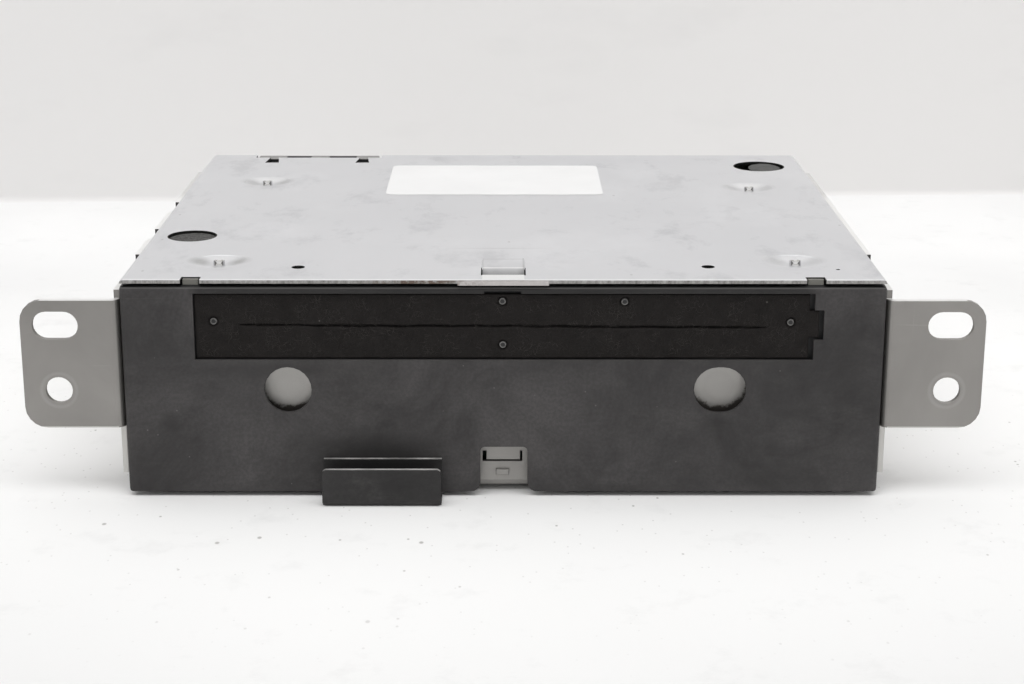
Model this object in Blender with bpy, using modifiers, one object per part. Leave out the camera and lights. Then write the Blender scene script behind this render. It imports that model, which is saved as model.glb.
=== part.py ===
"""Car radio with a disc slot behind a felt seal, modelled as separate pieces.

Metres, +Z up. The front faces -Y. Every piece is placed from the outer face of the
front cover, at y = 0 under the root empty, and from the surface that the radio stands
on, at z = 0. The root empty puts the middle of the whole radio's box at the origin.
"""

import math

import bmesh
import bpy
from mathutils import Matrix, Vector

# Driving dimensions of the case
CASE_WIDTH = 0.1766
CASE_HEIGHT = 0.0527
CASE_DEPTH = 0.1545
FLOOR_CLEARANCE = 0.0012
DISC_DROP = 0.0112
DISC_THICKNESS = 0.0012

# Gaps and tolerances
FIT = 0.0003
RUNNING_FIT = 0.0002
OVERRUN = 0.0020
SINK = 0.0004
WELD = 0.000002

# Facets
ROUND_STEPS = 24
SMALL_STEPS = 12
CORNER_STEPS = 5
FOLD_STEPS = 2
SMOOTH_ANGLE = math.radians(35)

# Sheet metal
TRAY_SHEET = 0.0010
COVER_SHEET = 0.0008
LID_SHEET = 0.0009
BRACKET_SHEET = 0.0013
HOOK_SHEET = 0.0010
FOLD_RADIUS = 0.0007
FOLD_PROFILE_SHARE = 0.50

# Front cover
COVER_DROP = 0.0015
COVER_FLANGE = 0.0035
COVER_FOLD = 0.0001
COVER_CORNER = 0.0008
SEAL_SPACE = 0.0026
ROUND_WINDOW_FROM_SIDE = 0.0382
LONG_WINDOW_FROM_SIDE = 0.0378
WINDOW_BELOW_FELT = 0.0076
WINDOW_RADIUS = 0.0055
LONG_WINDOW_STRETCH = 0.0012
NOTCH_LEFT = -0.0054
NOTCH_RIGHT = 0.0057
NOTCH_TOP = 0.0123
NOTCH_CORNER = 0.0011
NOTCH_FLARE = 0.0022
CATCH_WIDTH = 0.0036
CATCH_FROM_SIDE = 0.0164
CATCH_SETBACK = 0.0010
CATCH_THICKNESS = 0.0012
CATCH_BELOW_LID = 0.0002

# Felt seal and the frame that carries it
FELT_FROM_LEFT = 0.0172
FELT_FROM_RIGHT = 0.0176
FELT_DROP = 0.0021
FELT_HEIGHT = 0.0152
FELT_TAB_LENGTH = 0.0022
FELT_TAB_RISE = 0.0048
FELT_TAB_HEIGHT = 0.0065
FELT_MARGIN = 0.0003
FELT_MARGIN_RIGHT = 0.0011
FELT_SETBACK = 0.0006
FELT_THICKNESS = 0.0012
FELT_NOTCH_LEFT = -0.0044
FELT_NOTCH_RIGHT = 0.0041
FELT_NOTCH_DROP = 0.0012
SLIT_FROM_SIDE = 0.02655
SLIT_HEIGHT = 0.0006
PIN_RADIUS = 0.0008
LEFT_PIN_INSETS = (0.0042, 0.0065)
RIGHT_PIN_INSETS = (0.0043, 0.0067)
MIDDLE_PINS = ((-0.0002, 0.0017), (0.0280, 0.0018), (-0.0001, 0.0121))
FRAME_THICKNESS = 0.0012
FRAME_MARGIN = 0.0021
FRAME_LOWER_MARGIN = 0.0014
FRAME_SLOT_HEIGHT = 0.0032

# Channel on the front cover
HOOK_LEFT = -0.0421
HOOK_RIGHT = -0.0144
HOOK_REACH = 0.0072
HOOK_FRONT_TOP = 0.0091
HOOK_REAR_TOP = 0.0097
HOOK_FOLD = 0.0013
HOOK_CORNER = 0.0011

# Lid
LID_INSET = 0.0001
LID_FOLD = 0.0001
LID_FLANGE = 0.0065
LID_FLANGE_START = 0.0080
FRONT_WELLS = ((-1, 0.0057, 0.0180), (1, 0.0038, 0.0183))
REAR_WELLS = ((-1, 0.0062, 0.0210), (1, 0.0046, 0.0290))
WELL_RADIUS = 0.0066
WELL_FLOOR_RADIUS = 0.0036
WELL_DEPTH = 0.0015
TAB_WIDTH = 0.0026
TAB_THICKNESS = 0.0009
TAB_PROUD = 0.0002
TAB_NOTCH = 0.0009
FRONT_HOLE_INSET = 0.0102
FRONT_HOLE_Y = 0.0446
FRONT_HOLE_RADIUS = 0.0061
REAR_HOLE_INSET = 0.0129
REAR_HOLE_SETBACK = 0.0183
REAR_HOLE_RADIUS = 0.0074
SMALL_HOLE_INSET = 0.0400
SMALL_HOLE_YS = (0.0121, 0.0127)
SMALL_HOLE_RADIUS = 0.0016
TINY_HOLE_INSET = 0.0098
TINY_HOLE_Y = 0.0101
TINY_HOLE_RADIUS = 0.0005
DIP_HALF_WIDTH = 0.0052
DIP_REAR = 0.0200
DIP_FOLD = 0.0120
DIP_LOWEST = 0.0058
DIP_FRONT = 0.0048
DIP_FOLD_DEPTH = 0.0003
DIP_DEPTH = 0.0020
DIP_SIDE_SLIT = 0.0003
LIP_HALF_WIDTH = 0.0105
LIP_REACH = 0.0006
LIP_DROP = 0.0003
REAR_CUT_LEFT_MARGIN = 0.0003
REAR_CUT_RIGHT_MARGIN = 0.0007
REAR_CUT_DEPTH = 0.0049
REAR_NOTCH_INSETS = (0.0053, 0.0046)
REAR_NOTCH_WIDTH = 0.0041
REAR_NOTCH_NARROW = 0.0024
REAR_NOTCH_DEPTH = 0.0080

# Side brackets
EAR_REACH = 0.0230
EAR_SETBACK = 0.0004
EAR_DROP = 0.0050
EAR_HEIGHT = 0.0308
EAR_CORNER = 0.0051
EAR_FOLD = 0.0007
SLOT_FROM_EDGE = 0.0081
SLOT_BELOW_EAR_TOP = 0.0060
SLOT_LENGTH = 0.0106
SLOT_WIDTH = 0.0066
HOLE_FROM_EDGE = 0.0082
HOLE_BELOW_EAR_TOP = 0.0216
HOLE_RADIUS = 0.00315
SIDE_BOTTOM = 0.0051
SIDE_DROP = 0.0029
SIDE_REAR = 0.0030
SIDE_TAB_RISE = 0.0014
SIDE_GROOVE_WIDTH = 0.0022
SIDE_GROOVE_DEPTH = 0.0030
LEFT_TABS = ((0.0286, 0.0163), (0.0117, 0.0207))
LEFT_LONG_TAB = (0.0123, 0.0170)
RIGHT_LONG_TAB = (0.0288, 0.0179)
BRACKET_SCREW_INSETS = (0.0264, 0.0283)
BRACKET_SCREW_Z = 0.0270
SEAT_RADIUS = 0.0055

# Screws
SCREW_RADIUS = 0.0013
SCREW_HEAD_RADIUS = 0.0027
SCREW_HEAD_HEIGHT = 0.0016
SCREW_GRIP = 0.0030
BOARD_SCREW_GRIP = 0.0045
BRACKET_SCREW_GRIP = 0.0055
HEAD_TIP_SHARE = 0.55
HEAD_SHOULDER_SHARE = 0.92
HEAD_SHOULDER_HEIGHT_SHARE = 0.62

# Tray
PAD_SIDE_INSET = 0.0167
PAD_END_INSETS = (0.0264, 0.0283)
PAD_RADIUS = 0.0075
PAD_FACE_RADIUS = 0.0050
TRAY_FRONT_DROP = 0.0032
TONGUE_LEFT = -0.0049
TONGUE_RIGHT = 0.0045
TONGUE_TOP = 0.0102
TONGUE_BOTTOM = 0.0076
TONGUE_LEFT_GAP = 0.0009
TONGUE_RIGHT_GAP = 0.0005
TONGUE_LOWER_GAP = 0.0004
EMBOSS_LEFT = -0.0017
EMBOSS_RIGHT = 0.0013
EMBOSS_BOTTOM = 0.0043
EMBOSS_TOP = 0.0057
EMBOSS_HEIGHT = 0.0006

# Main board and what stands on it
BOARD_BOTTOM = 0.0070
BOARD_SHEET = 0.0016
BOARD_MARGIN = 0.0030
BOARD_CORNER = 0.0030
POST_INSET = 0.0075
POST_RADIUS = 0.0030
REAR_BAY = 0.0165
CONNECTOR_FROM_SIDE = 0.0139
CONNECTOR_WIDTH = 0.0368
CONNECTOR_HEIGHT = 0.0293
CONNECTOR_DROP = 0.0014
CONNECTOR_RISE = 0.0009
CONNECTOR_POCKETS = ((0.0086, 0.0074), (0.0214, 0.0083))
POCKET_DEPTH = 0.0015
POCKET_WALL = 0.0008
CONNECTOR_LENGTH = 0.0145
CONNECTOR_PROUD = 0.0020
CONNECTOR_WALL = 0.0018
CONNECTOR_SOCKET = 0.0110
CONNECTOR_FOOT = 0.0040
PIN_THICKNESS = 0.0012
PIN_LENGTH = 0.0075
PIN_COLUMNS = 6
PIN_ROWS = 2
AMPLIFIER_SHARE = 0.61
AMPLIFIER_WIDTH = 0.0200
AMPLIFIER_BOTTOM = 0.0120
AMPLIFIER_TOP = 0.0280
AMPLIFIER_DEPTH = 0.0043
AMPLIFIER_LEG = 0.0010
TUNER_WIDTH = 0.0270
TUNER_FROM_SIDE = 0.0083
TUNER_HEIGHT = 0.0170
SOCKET_INSET = 0.0100
SOCKET_Z = 0.0180
SOCKET_RADIUS = 0.0042
SOCKET_BORE = 0.0018
SOCKET_PROUD = 0.0080
SOCKET_TIP_SHARE = 0.85
SOCKET_SHOULDER_SHARE = 0.90
SOCKET_BORE_END_SHARE = 0.30
CAPACITOR_FROM_CONNECTOR = 0.0196
CAPACITOR_RADIUS = 0.0070
CAPACITOR_HEIGHT = 0.0240
CAPACITOR_GROOVE_SHARE = 0.93
CAPACITOR_RIM_SHARE = 0.97
CAPACITOR_GROOVE_HEIGHT_SHARES = (0.20, 0.16, 0.12)
CHIP_PLACE = (-0.0240, 0.0700)
CHIP_WIDTH = 0.0200
CHIP_HEIGHT = 0.0016
SINK_WIDTH = 0.0440
SINK_BOTTOM = 0.0090
SINK_DROP = 0.0107
SINK_BASE = 0.0030
SINK_FIN_LENGTH = 0.0090
SINK_FIN = 0.0016
SINK_FINS = 8
SINK_SCREW_INSET = 0.0042
SINK_SCREW_DROP = 0.0070
REAR_SCREW_INSET = 0.0064
REAR_SCREW_DROP = 0.0042
RIBBON_LEFT = -0.0400
RIBBON_WIDTH = 0.0160
RIBBON_THICKNESS = 0.0003
RIBBON_SETBACK = 0.0340
RIBBON_RUN = 0.0180
RIBBON_STEPS = 12

# Frame of the disc mechanism
MECH_SIDE_GAP = 0.0127
MECH_FRONT = 0.0090
MECH_REAR_GAP = 0.0183
MECH_BELOW_LID = 0.0287
MECH_SHEET = 0.0010
MECH_FLANGE = 0.0120
MECH_WINDOW_FRONT = 0.0350
MECH_WINDOW_REAR_BAR = 0.0040
MECH_SIDE_STRIP = 0.0120
MECH_WINDOW_CORNER = 0.0030
GUIDE_ABOVE_DISC = 0.0009
GUIDE_THICKNESS = 0.0018
GUIDE_FRONT = 0.0105
GUIDE_EAR_FRONT = 0.0220
GUIDE_BACK = 0.0290
GUIDE_SIDE_GAP = 0.0108

# Deck that carries the drive
DECK_RISE = 0.0050
DECK_SHEET = 0.0012
DECK_FRONT = 0.0460
DECK_REAR_GAP = 0.0010
DECK_SIDE_GAP = 0.0130
DECK_SHELF_GAP = 0.0050
DECK_SHELF_BACK = 0.0860
LUG_SIDE_GAP = 0.0028
FRONT_LUG_Y = 0.0500
REAR_LUG_GAP = 0.0100
LUG_HALF = 0.0022
DAMPER_RADIUS = 0.0023
DAMPER_WAIST = 0.0016
DAMPER_STEP_SHARES = (0.72, 0.60, 0.40, 0.28)
SPRING_RADIUS = 0.0015
SPRING_WIRE = 0.00025
SPRING_TURNS = 4
SPRING_POINTS = 8

# Spindle, clamp and pickup
SPINDLE_Y = 0.0660
MOTOR_RADIUS = 0.0120
MOTOR_HEIGHT = 0.0038
MOTOR_TOP_SHARE = 0.94
MOTOR_SHOULDER_SHARE = 0.80
STEM_RADIUS = 0.0010
STEM_DEPTH = 0.0030
PLATTER_BELOW_DISC = 0.0031
PLATTER_RADIUS = 0.0140
PLATTER_THICKNESS = 0.0016
PLATTER_NECK = 0.0034
HUB_RADIUS = 0.0073
HUB_TIP_RADIUS = 0.0055
HUB_HEIGHT = 0.0019
HUB_CHAMFER_SHARE = 0.30
CLAMP_GAP = 0.0048
CLAMP_RADIUS = 0.0132
CLAMP_RECESS_RADIUS = 0.0088
CLAMP_RECESS = 0.0014
CLAMP_THICKNESS = 0.0018
CLAMP_STEM = 0.0040
CLAMP_CAP_RADIUS = 0.0062
CLAMP_CAP = 0.0008
CLAMP_PLAY = 0.0006
ARM_SHEET = 0.0012
ARM_RING = 0.0090
ARM_PIVOT_GAP = 0.0040
ARM_HALF_WIDTH = 0.0240
ARM_PIVOT_HALF = 0.0030
ARM_PIN_RADIUS = 0.0012
ARM_POST_WIDTH = 0.0036
ARM_POST_MARGIN = 0.0016
ROD_SPREAD = 0.0110
ROD_RADIUS = 0.0014
ROD_ABOVE_DECK = 0.0030
ROD_START = 0.0140
ROD_END_GAP = 0.0083
ROD_POST = 0.0026
ROD_POST_MARGIN = 0.0011
CARRIAGE_LENGTH = 0.0150
CARRIAGE_START = 0.0145
CARRIAGE_BELOW_DISC = 0.0055
CARRIAGE_REAR = 0.0035
LENS_HOLDER_RADIUS = 0.0040
LENS_RADIUS = 0.0024
LENS_HEIGHT = 0.0012
LENS_TIP_SHARE = 0.60
LENS_HEIGHT_SHARES = (0.95, 0.75, 0.70)
SCREW_OFFSET = 0.0170
FEED_CORE = 0.0009
FEED_THREAD = 0.00035
FEED_PITCH = 0.0060
FEED_POINTS = 8
FEED_MOTOR_RADIUS = 0.0036
FEED_MOTOR_LENGTH = 0.0150

# Loading roller and its gears
ROLLER_Y = 0.0130
ROLLER_RADIUS = 0.0035
ROLLER_WAIST = 0.0031
ROLLER_END_GAP = 0.0020
ROLLER_SHAFT_RADIUS = 0.0012
LINK_SIDE_GAP = 0.0120
LINK_SHEET = 0.0010
LINK_PIVOT_Y = 0.0400
LINK_PIVOT_BELOW_DISC = 0.0075
LINK_PIVOT_RADIUS = 0.0035
LINK_TIP_RADIUS = 0.0026
LINK_PIN_RADIUS = 0.0014
LINK_BAR_HALF = 0.0030
RETURN_WIRE = 0.0003
RETURN_TURNS = 6
LINK_BAR_DROP = 0.0022
GEAR_MODULE = 0.0006
GEAR_ADDENDUM_SHARE = 0.85
GEAR_DEDENDUM_SHARE = 1.25
GEAR_TIP_SHARE = 0.20
GEAR_ROOT_SHARE = 0.52
GEAR_BACKLASH = 0.0001
ROLLER_TEETH = 11
IDLER_TEETH = 12
GEAR_GAP = 0.0024
GEAR_WIDTH = 0.0028
IDLER_WIDTH = 0.0088
IDLER_PIN_RADIUS = 0.0010
WORM_SIDE_GAP = 0.0040
WORM_CORE = 0.0013
WORM_THREAD = 0.0005
WORM_PITCH_RADIUS = 0.0019
WORM_THREAD_DEPTH = 0.00025
WORM_TURNS = 4
WORM_POINTS = 12
WORM_SHAFT_RADIUS = 0.0008
WORM_NOSE = 0.0006
LOADING_MOTOR_RADIUS = 0.0034
LOADING_MOTOR_START = 0.0192
LOADING_MOTOR_LENGTH = 0.0170
SADDLE_INSET = 0.0025

# Places worked out from the sizes above, first across the case
cover_x = CASE_WIDTH / 2
lid_x = cover_x - LID_INSET
tray_x = lid_x - LID_SHEET - FIT
tray_inner_x = tray_x - TRAY_SHEET
bracket_x = cover_x + FIT
bracket_outer = bracket_x + BRACKET_SHEET
ear_tip = bracket_x + EAR_REACH
ear_bend = BRACKET_SHEET + EAR_FOLD
felt_left = FELT_FROM_LEFT - cover_x
felt_right = cover_x - FELT_FROM_RIGHT
slit_x = cover_x - SLIT_FROM_SIDE
catch_x = cover_x - CATCH_FROM_SIDE
round_window_x = ROUND_WINDOW_FROM_SIDE - cover_x
long_window_x = cover_x - LONG_WINDOW_FROM_SIDE
connector_left = CONNECTOR_FROM_SIDE - cover_x
connector_right = connector_left + CONNECTOR_WIDTH
rear_cut_left = connector_left - REAR_CUT_LEFT_MARGIN
rear_cut_right = connector_right + REAR_CUT_RIGHT_MARGIN
rear_notch_xs = (connector_left + REAR_NOTCH_INSETS[0], connector_right - REAR_NOTCH_INSETS[1])
tuner_right = cover_x - TUNER_FROM_SIDE
tuner_left = tuner_right - TUNER_WIDTH
socket_x = tuner_right - SOCKET_INSET
capacitor_x = connector_right + CAPACITOR_FROM_CONNECTOR
capacitor_side = capacitor_x + CAPACITOR_RADIUS
amplifier_x = capacitor_side + AMPLIFIER_SHARE * (tuner_left - capacitor_side)
sink_left = amplifier_x - SINK_WIDTH / 2
sink_right = amplifier_x + SINK_WIDTH / 2
rear_screw_x = lid_x - REAR_SCREW_INSET
board_x = tray_inner_x - BOARD_MARGIN
mech_x = tray_inner_x - MECH_SIDE_GAP
mech_inner = mech_x - MECH_SHEET
guide_x = mech_inner - GUIDE_SIDE_GAP
deck_x = mech_inner - DECK_SIDE_GAP
deck_shelf_x = mech_inner - DECK_SHELF_GAP
lug_centre_x = mech_inner - LUG_SIDE_GAP
rod_end = mech_inner - ROD_END_GAP
link_x = mech_inner - LINK_SIDE_GAP
roller_half = link_x - ROLLER_END_GAP
gear_start = link_x + GEAR_GAP
worm_x = mech_inner - WORM_SIDE_GAP

# From front to back
tray_front = COVER_SHEET + SEAL_SPACE
tray_back = CASE_DEPTH - LID_SHEET - FIT
tray_inner_back = tray_back - TRAY_SHEET
board_front = tray_front + TRAY_SHEET + BOARD_MARGIN
board_back = tray_inner_back - FIT
bracket_screw_ys = (tray_front + BRACKET_SCREW_INSETS[0], tray_back - BRACKET_SCREW_INSETS[1])
mech_back = tray_inner_back - MECH_REAR_GAP
deck_back = mech_back - DECK_REAR_GAP
lug_ys = (FRONT_LUG_Y, mech_back - REAR_LUG_GAP)
arm_pivot_y = mech_back - ARM_PIVOT_GAP
ribbon_start = mech_back - RIBBON_SETBACK
feed_y = SPINDLE_Y - SCREW_OFFSET
sink_front = tray_back + FIT
sink_back = sink_front + SINK_BASE + SINK_FIN_LENGTH
root_y = (HOOK_REACH - sink_back) / 2

# Heights
lid_under = CASE_HEIGHT - LID_SHEET
well_floor = CASE_HEIGHT - WELL_DEPTH
well_under = well_floor - LID_SHEET
tray_top = lid_under - FIT
tray_front_top = CASE_HEIGHT - TRAY_FRONT_DROP
floor_top = FLOOR_CLEARANCE + TRAY_SHEET
cover_top = CASE_HEIGHT - COVER_DROP
felt_top = cover_top - FELT_DROP
felt_bottom = felt_top - FELT_HEIGHT
felt_tab_bottom = felt_bottom + FELT_TAB_RISE
felt_tab_top = felt_tab_bottom + FELT_TAB_HEIGHT
felt_notch_top = cover_top - FELT_NOTCH_DROP
window_z = felt_bottom - WINDOW_BELOW_FELT
ear_top = CASE_HEIGHT - EAR_DROP
ear_bottom = ear_top - EAR_HEIGHT
slot_z = ear_top - SLOT_BELOW_EAR_TOP
hole_z = ear_top - HOLE_BELOW_EAR_TOP
side_top = CASE_HEIGHT - SIDE_DROP
board_top = BOARD_BOTTOM + BOARD_SHEET
part_base = board_top + FIT
connector_top = CASE_HEIGHT - CONNECTOR_DROP
connector_bottom = connector_top - CONNECTOR_HEIGHT
sink_top = CASE_HEIGHT - SINK_DROP
sink_screw_z = sink_top - SINK_SCREW_DROP
disc_z = CASE_HEIGHT - DISC_DROP
disc_under = disc_z - DISC_THICKNESS / 2
mech_top = well_under - FIT
mech_bottom = CASE_HEIGHT - MECH_BELOW_LID
mech_floor = mech_bottom + MECH_SHEET
deck_bottom = mech_bottom + DECK_RISE
deck_top = deck_bottom + DECK_SHEET
platter_top = disc_z - PLATTER_BELOW_DISC
carriage_top = disc_z - CARRIAGE_BELOW_DISC
link_pivot = (LINK_PIVOT_Y, disc_z - LINK_PIVOT_BELOW_DISC)
roller_z = disc_under - ROLLER_RADIUS
rod_z = deck_top + ROD_ABOVE_DECK
feed_z = deck_top + FIT + FEED_MOTOR_RADIUS
clamp_bottom = platter_top + CLAMP_GAP
clamp_arm_bottom = clamp_bottom + CLAMP_THICKNESS + CLAMP_PLAY
clamp_pivot_z = clamp_arm_bottom + ARM_SHEET / 2

# Tables of places
pin_places = [
    (felt_left + LEFT_PIN_INSETS[0], felt_top - LEFT_PIN_INSETS[1]),
    *((x, felt_top - drop) for x, drop in MIDDLE_PINS),
    (felt_right - RIGHT_PIN_INSETS[0], felt_top - RIGHT_PIN_INSETS[1]),
]
well_places = [(side * (mech_x - inset), y) for side, inset, y in FRONT_WELLS] + [
    (side * (mech_x - inset), mech_back - setback) for side, inset, setback in REAR_WELLS
]
pad_places = [
    (side * (tray_x - PAD_SIDE_INSET), y)
    for y in (tray_front + PAD_END_INSETS[0], tray_back - PAD_END_INSETS[1])
    for side in (-1, 1)
]
front_hole = (FRONT_HOLE_INSET - lid_x, FRONT_HOLE_Y)
rear_hole = (lid_x - REAR_HOLE_INSET, CASE_DEPTH - REAR_HOLE_SETBACK)
tiny_hole = (lid_x - TINY_HOLE_INSET, TINY_HOLE_Y)
small_hole_places = [
    (side * (lid_x - SMALL_HOLE_INSET), y) for side, y in zip((-1, 1), SMALL_HOLE_YS)
]


# Scene and materials
for old in list(bpy.data.objects):
    bpy.data.objects.remove(old, do_unlink=True)

pieces = bpy.data.collections.new("car_radio")
tools = bpy.data.collections.new("cutters")
tools.hide_render = True
for group in (pieces, tools):
    bpy.context.scene.collection.children.link(group)

root = bpy.data.objects.new("radio_root", None)
root.location = (0, root_y, 0)
pieces.objects.link(root)


def material(name, colour, roughness, metallic):
    made = bpy.data.materials.new(name)
    made.use_nodes = True
    shader = made.node_tree.nodes["Principled BSDF"]
    shader.inputs["Base Color"].default_value = (*colour, 1)
    shader.inputs["Roughness"].default_value = roughness
    shader.inputs["Metallic"].default_value = metallic
    made.diffuse_color = (*colour, 1)
    return made


galvanised = material("galvanised_steel", (0.62, 0.63, 0.65), 0.38, 0.9)
bracket_steel = material("bracket_steel", (0.42, 0.41, 0.39), 0.45, 0.9)
black_paint = material("black_paint", (0.05, 0.05, 0.055), 0.55, 0.0)
felt_black = material("black_felt", (0.015, 0.014, 0.014), 1.0, 0.0)
black_plastic = material("black_plastic", (0.03, 0.03, 0.032), 0.45, 0.0)
aluminium = material("cast_aluminium", (0.55, 0.56, 0.58), 0.5, 0.9)
board_green = material("board_green", (0.02, 0.18, 0.07), 0.5, 0.0)
chip_black = material("chip_black", (0.02, 0.02, 0.02), 0.6, 0.0)
zinc = material("zinc_plate", (0.7, 0.7, 0.68), 0.3, 1.0)
brass = material("brass", (0.75, 0.58, 0.25), 0.3, 1.0)
rubber = material("grey_rubber", (0.08, 0.08, 0.08), 0.9, 0.0)
nylon = material("white_nylon", (0.82, 0.81, 0.76), 0.45, 0.0)
ribbon_tan = material("ribbon_tan", (0.6, 0.42, 0.2), 0.5, 0.0)
lens_glass = material("lens_glass", (0.5, 0.6, 0.75), 0.05, 0.0)
sleeve_blue = material("sleeve_blue", (0.05, 0.08, 0.25), 0.4, 0.0)


# Objects
def place(name, mesh, finish=None):
    """Links a mesh as a piece, or as a cutter where it has no finish."""
    made = bpy.data.objects.new(name, mesh)
    made.parent = root
    if finish is None:
        made.display_type = "WIRE"
        made.hide_render = True
        tools.objects.link(made)
        return made
    mesh.materials.clear()
    mesh.materials.append(finish)
    pieces.objects.link(made)
    return made


def round_off(made):
    """Shades a turned or rounded piece smooth, with its sharp edges kept."""
    made.data.shade_smooth()
    made.data.set_sharp_from_angle(angle=SMOOTH_ANGLE)
    return made


def pivot_at(made, point):
    """Moves a piece's origin to a point on its joint's axis, the piece staying where it is."""
    shift = Vector(point) - made.location
    made.data.transform(Matrix.Translation(-shift))
    made.location = point
    return made


def boolean(target, operation, others):
    for other in others:
        step = target.modifiers.new(other.name, "BOOLEAN")
        step.operation = operation
        step.solver = "EXACT"
        step.object = other
    return target


def cut(target, *others):
    return boolean(target, "DIFFERENCE", others)


def join(target, *others):
    return boolean(target, "UNION", others)


def mesh_of(shape, name):
    mesh = bpy.data.meshes.new(name)
    shape.to_mesh(mesh)
    shape.free()
    return mesh


# Shapes
def block(name, low, high, finish=None):
    shape = bmesh.new()
    bmesh.ops.create_cube(shape, size=1)
    low = Vector(low)
    high = Vector(high)
    size = high - low
    shape.transform(Matrix.Translation((low + high) / 2) @ Matrix.Diagonal((*size, 1)))
    return place(name, mesh_of(shape, name), finish)


def cone(name, start, end, start_radius, end_radius, finish=None, steps=ROUND_STEPS):
    """Round bar or taper between two points."""
    start = Vector(start)
    run = Vector(end) - start
    shape = bmesh.new()
    bmesh.ops.create_cone(
        shape,
        cap_ends=True,
        segments=steps,
        radius1=start_radius,
        radius2=end_radius,
        depth=run.length,
    )
    turn = Vector((0, 0, 1)).rotation_difference(run).to_matrix().to_4x4()
    shape.transform(Matrix.Translation(start + run / 2) @ turn)
    made = place(name, mesh_of(shape, name), finish)
    return round_off(made)


def bar(name, start, end, radius, finish=None, steps=ROUND_STEPS):
    return cone(name, start, end, radius, radius, finish, steps)


TURNS = {
    "X": Matrix.Rotation(math.pi / 2, 4, "Y"),
    "-X": Matrix.Rotation(-math.pi / 2, 4, "Y"),
    "Y": Matrix.Rotation(-math.pi / 2, 4, "X"),
    "Z": Matrix.Identity(4),
}


def turned(name, profile, base, axis, finish=None, steps=ROUND_STEPS):
    """Turns a profile of (radius, height) points, top to bottom, about an axis through the base."""
    mesh = bpy.data.meshes.new(name)
    points = [(radius, 0, height) for radius, height in profile]
    edges = [(index, index + 1) for index in range(len(points) - 1)]
    mesh.from_pydata(points, edges, [])
    made = place(name, mesh, finish)
    made.matrix_local = Matrix.Translation(base) @ TURNS[axis]
    turn = made.modifiers.new("turn", "SCREW")
    turn.steps = steps
    turn.render_steps = steps
    turn.use_merge_vertices = True
    turn.merge_threshold = WELD
    turn.use_smooth_shade = False
    return made


def ring(profile):
    """Closes a profile that has a bore, so that it turns into a ring."""
    return [*profile, profile[0]]


PLANES = {
    "XY": Matrix.Identity(4),
    "XZ": Matrix(((1, 0, 0, 0), (0, 0, -1, 0), (0, 1, 0, 0), (0, 0, 0, 1))),
    "YZ": Matrix(((0, 0, 1, 0), (1, 0, 0, 0), (0, 1, 0, 0), (0, 0, 0, 1))),
}
NORMAL_SIGN = {"XY": 1, "XZ": -1, "YZ": 1}


def mesh_from_curve(curve, name):
    """Welded closed mesh of a curve, which is then removed."""
    source = bpy.data.objects.new(name, curve)
    bpy.context.scene.collection.objects.link(source)
    graph = bpy.context.evaluated_depsgraph_get()
    mesh = bpy.data.meshes.new_from_object(source.evaluated_get(graph))
    bpy.data.objects.remove(source, do_unlink=True)
    bpy.data.curves.remove(curve)
    shape = bmesh.new()
    shape.from_mesh(mesh)
    bmesh.ops.remove_doubles(shape, verts=shape.verts, dist=WELD)
    bmesh.ops.recalc_face_normals(shape, faces=shape.faces)
    shape.to_mesh(mesh)
    shape.free()
    mesh.name = name
    return mesh


def prism(loop, half_height):
    """Closed mesh between two copies of one outline."""
    shape = bmesh.new()
    rims = [[shape.verts.new((u, v, z)) for u, v in loop] for z in (-half_height, half_height)]
    for rim in rims:
        shape.faces.new(rim)
    lower, upper = rims
    for index in range(len(loop)):
        shape.faces.new((lower[index - 1], lower[index], upper[index], upper[index - 1]))
    bmesh.ops.recalc_face_normals(shape, faces=shape.faces)
    return shape


def plate(name, loops, plane, start, end, finish=None):
    """Flat piece: an outline with its holes, drawn in a plane and filled from start to end."""
    middle = NORMAL_SIGN[plane] * (start + end) / 2
    spot = PLANES[plane] @ Matrix.Translation((0, 0, middle))
    if len(loops) == 1:
        mesh = mesh_of(prism(loops[0], (end - start) / 2), name)
        mesh.transform(spot)
        return place(name, mesh, finish)
    curve = bpy.data.curves.new(name, "CURVE")
    curve.dimensions = "2D"
    curve.fill_mode = "BOTH"
    curve.extrude = (end - start) / 2
    for loop in loops:
        spline = curve.splines.new("POLY")
        spline.points.add(len(loop) - 1)
        for point, (u, v) in zip(spline.points, loop):
            point.co = (u, v, 0, 1)
        spline.use_cyclic_u = True
    mesh = mesh_from_curve(curve, name)
    mesh.transform(spot)
    return place(name, mesh, finish)


def wire(name, points, radius, finish=None, resolution=1):
    """Round wire through a list of points, with closed ends."""
    curve = bpy.data.curves.new(name, "CURVE")
    curve.dimensions = "3D"
    curve.bevel_depth = radius
    curve.bevel_resolution = resolution
    curve.use_fill_caps = True
    spline = curve.splines.new("POLY")
    spline.points.add(len(points) - 1)
    for point, place_at in zip(spline.points, points):
        point.co = (*place_at, 1)
    return round_off(place(name, mesh_from_curve(curve, name), finish))


OPEN_SIDES = {
    "left": Vector((-1, 0, 0)),
    "right": Vector((1, 0, 0)),
    "front": Vector((0, -1, 0)),
    "back": Vector((0, 1, 0)),
    "bottom": Vector((0, 0, -1)),
    "top": Vector((0, 0, 1)),
}


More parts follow.
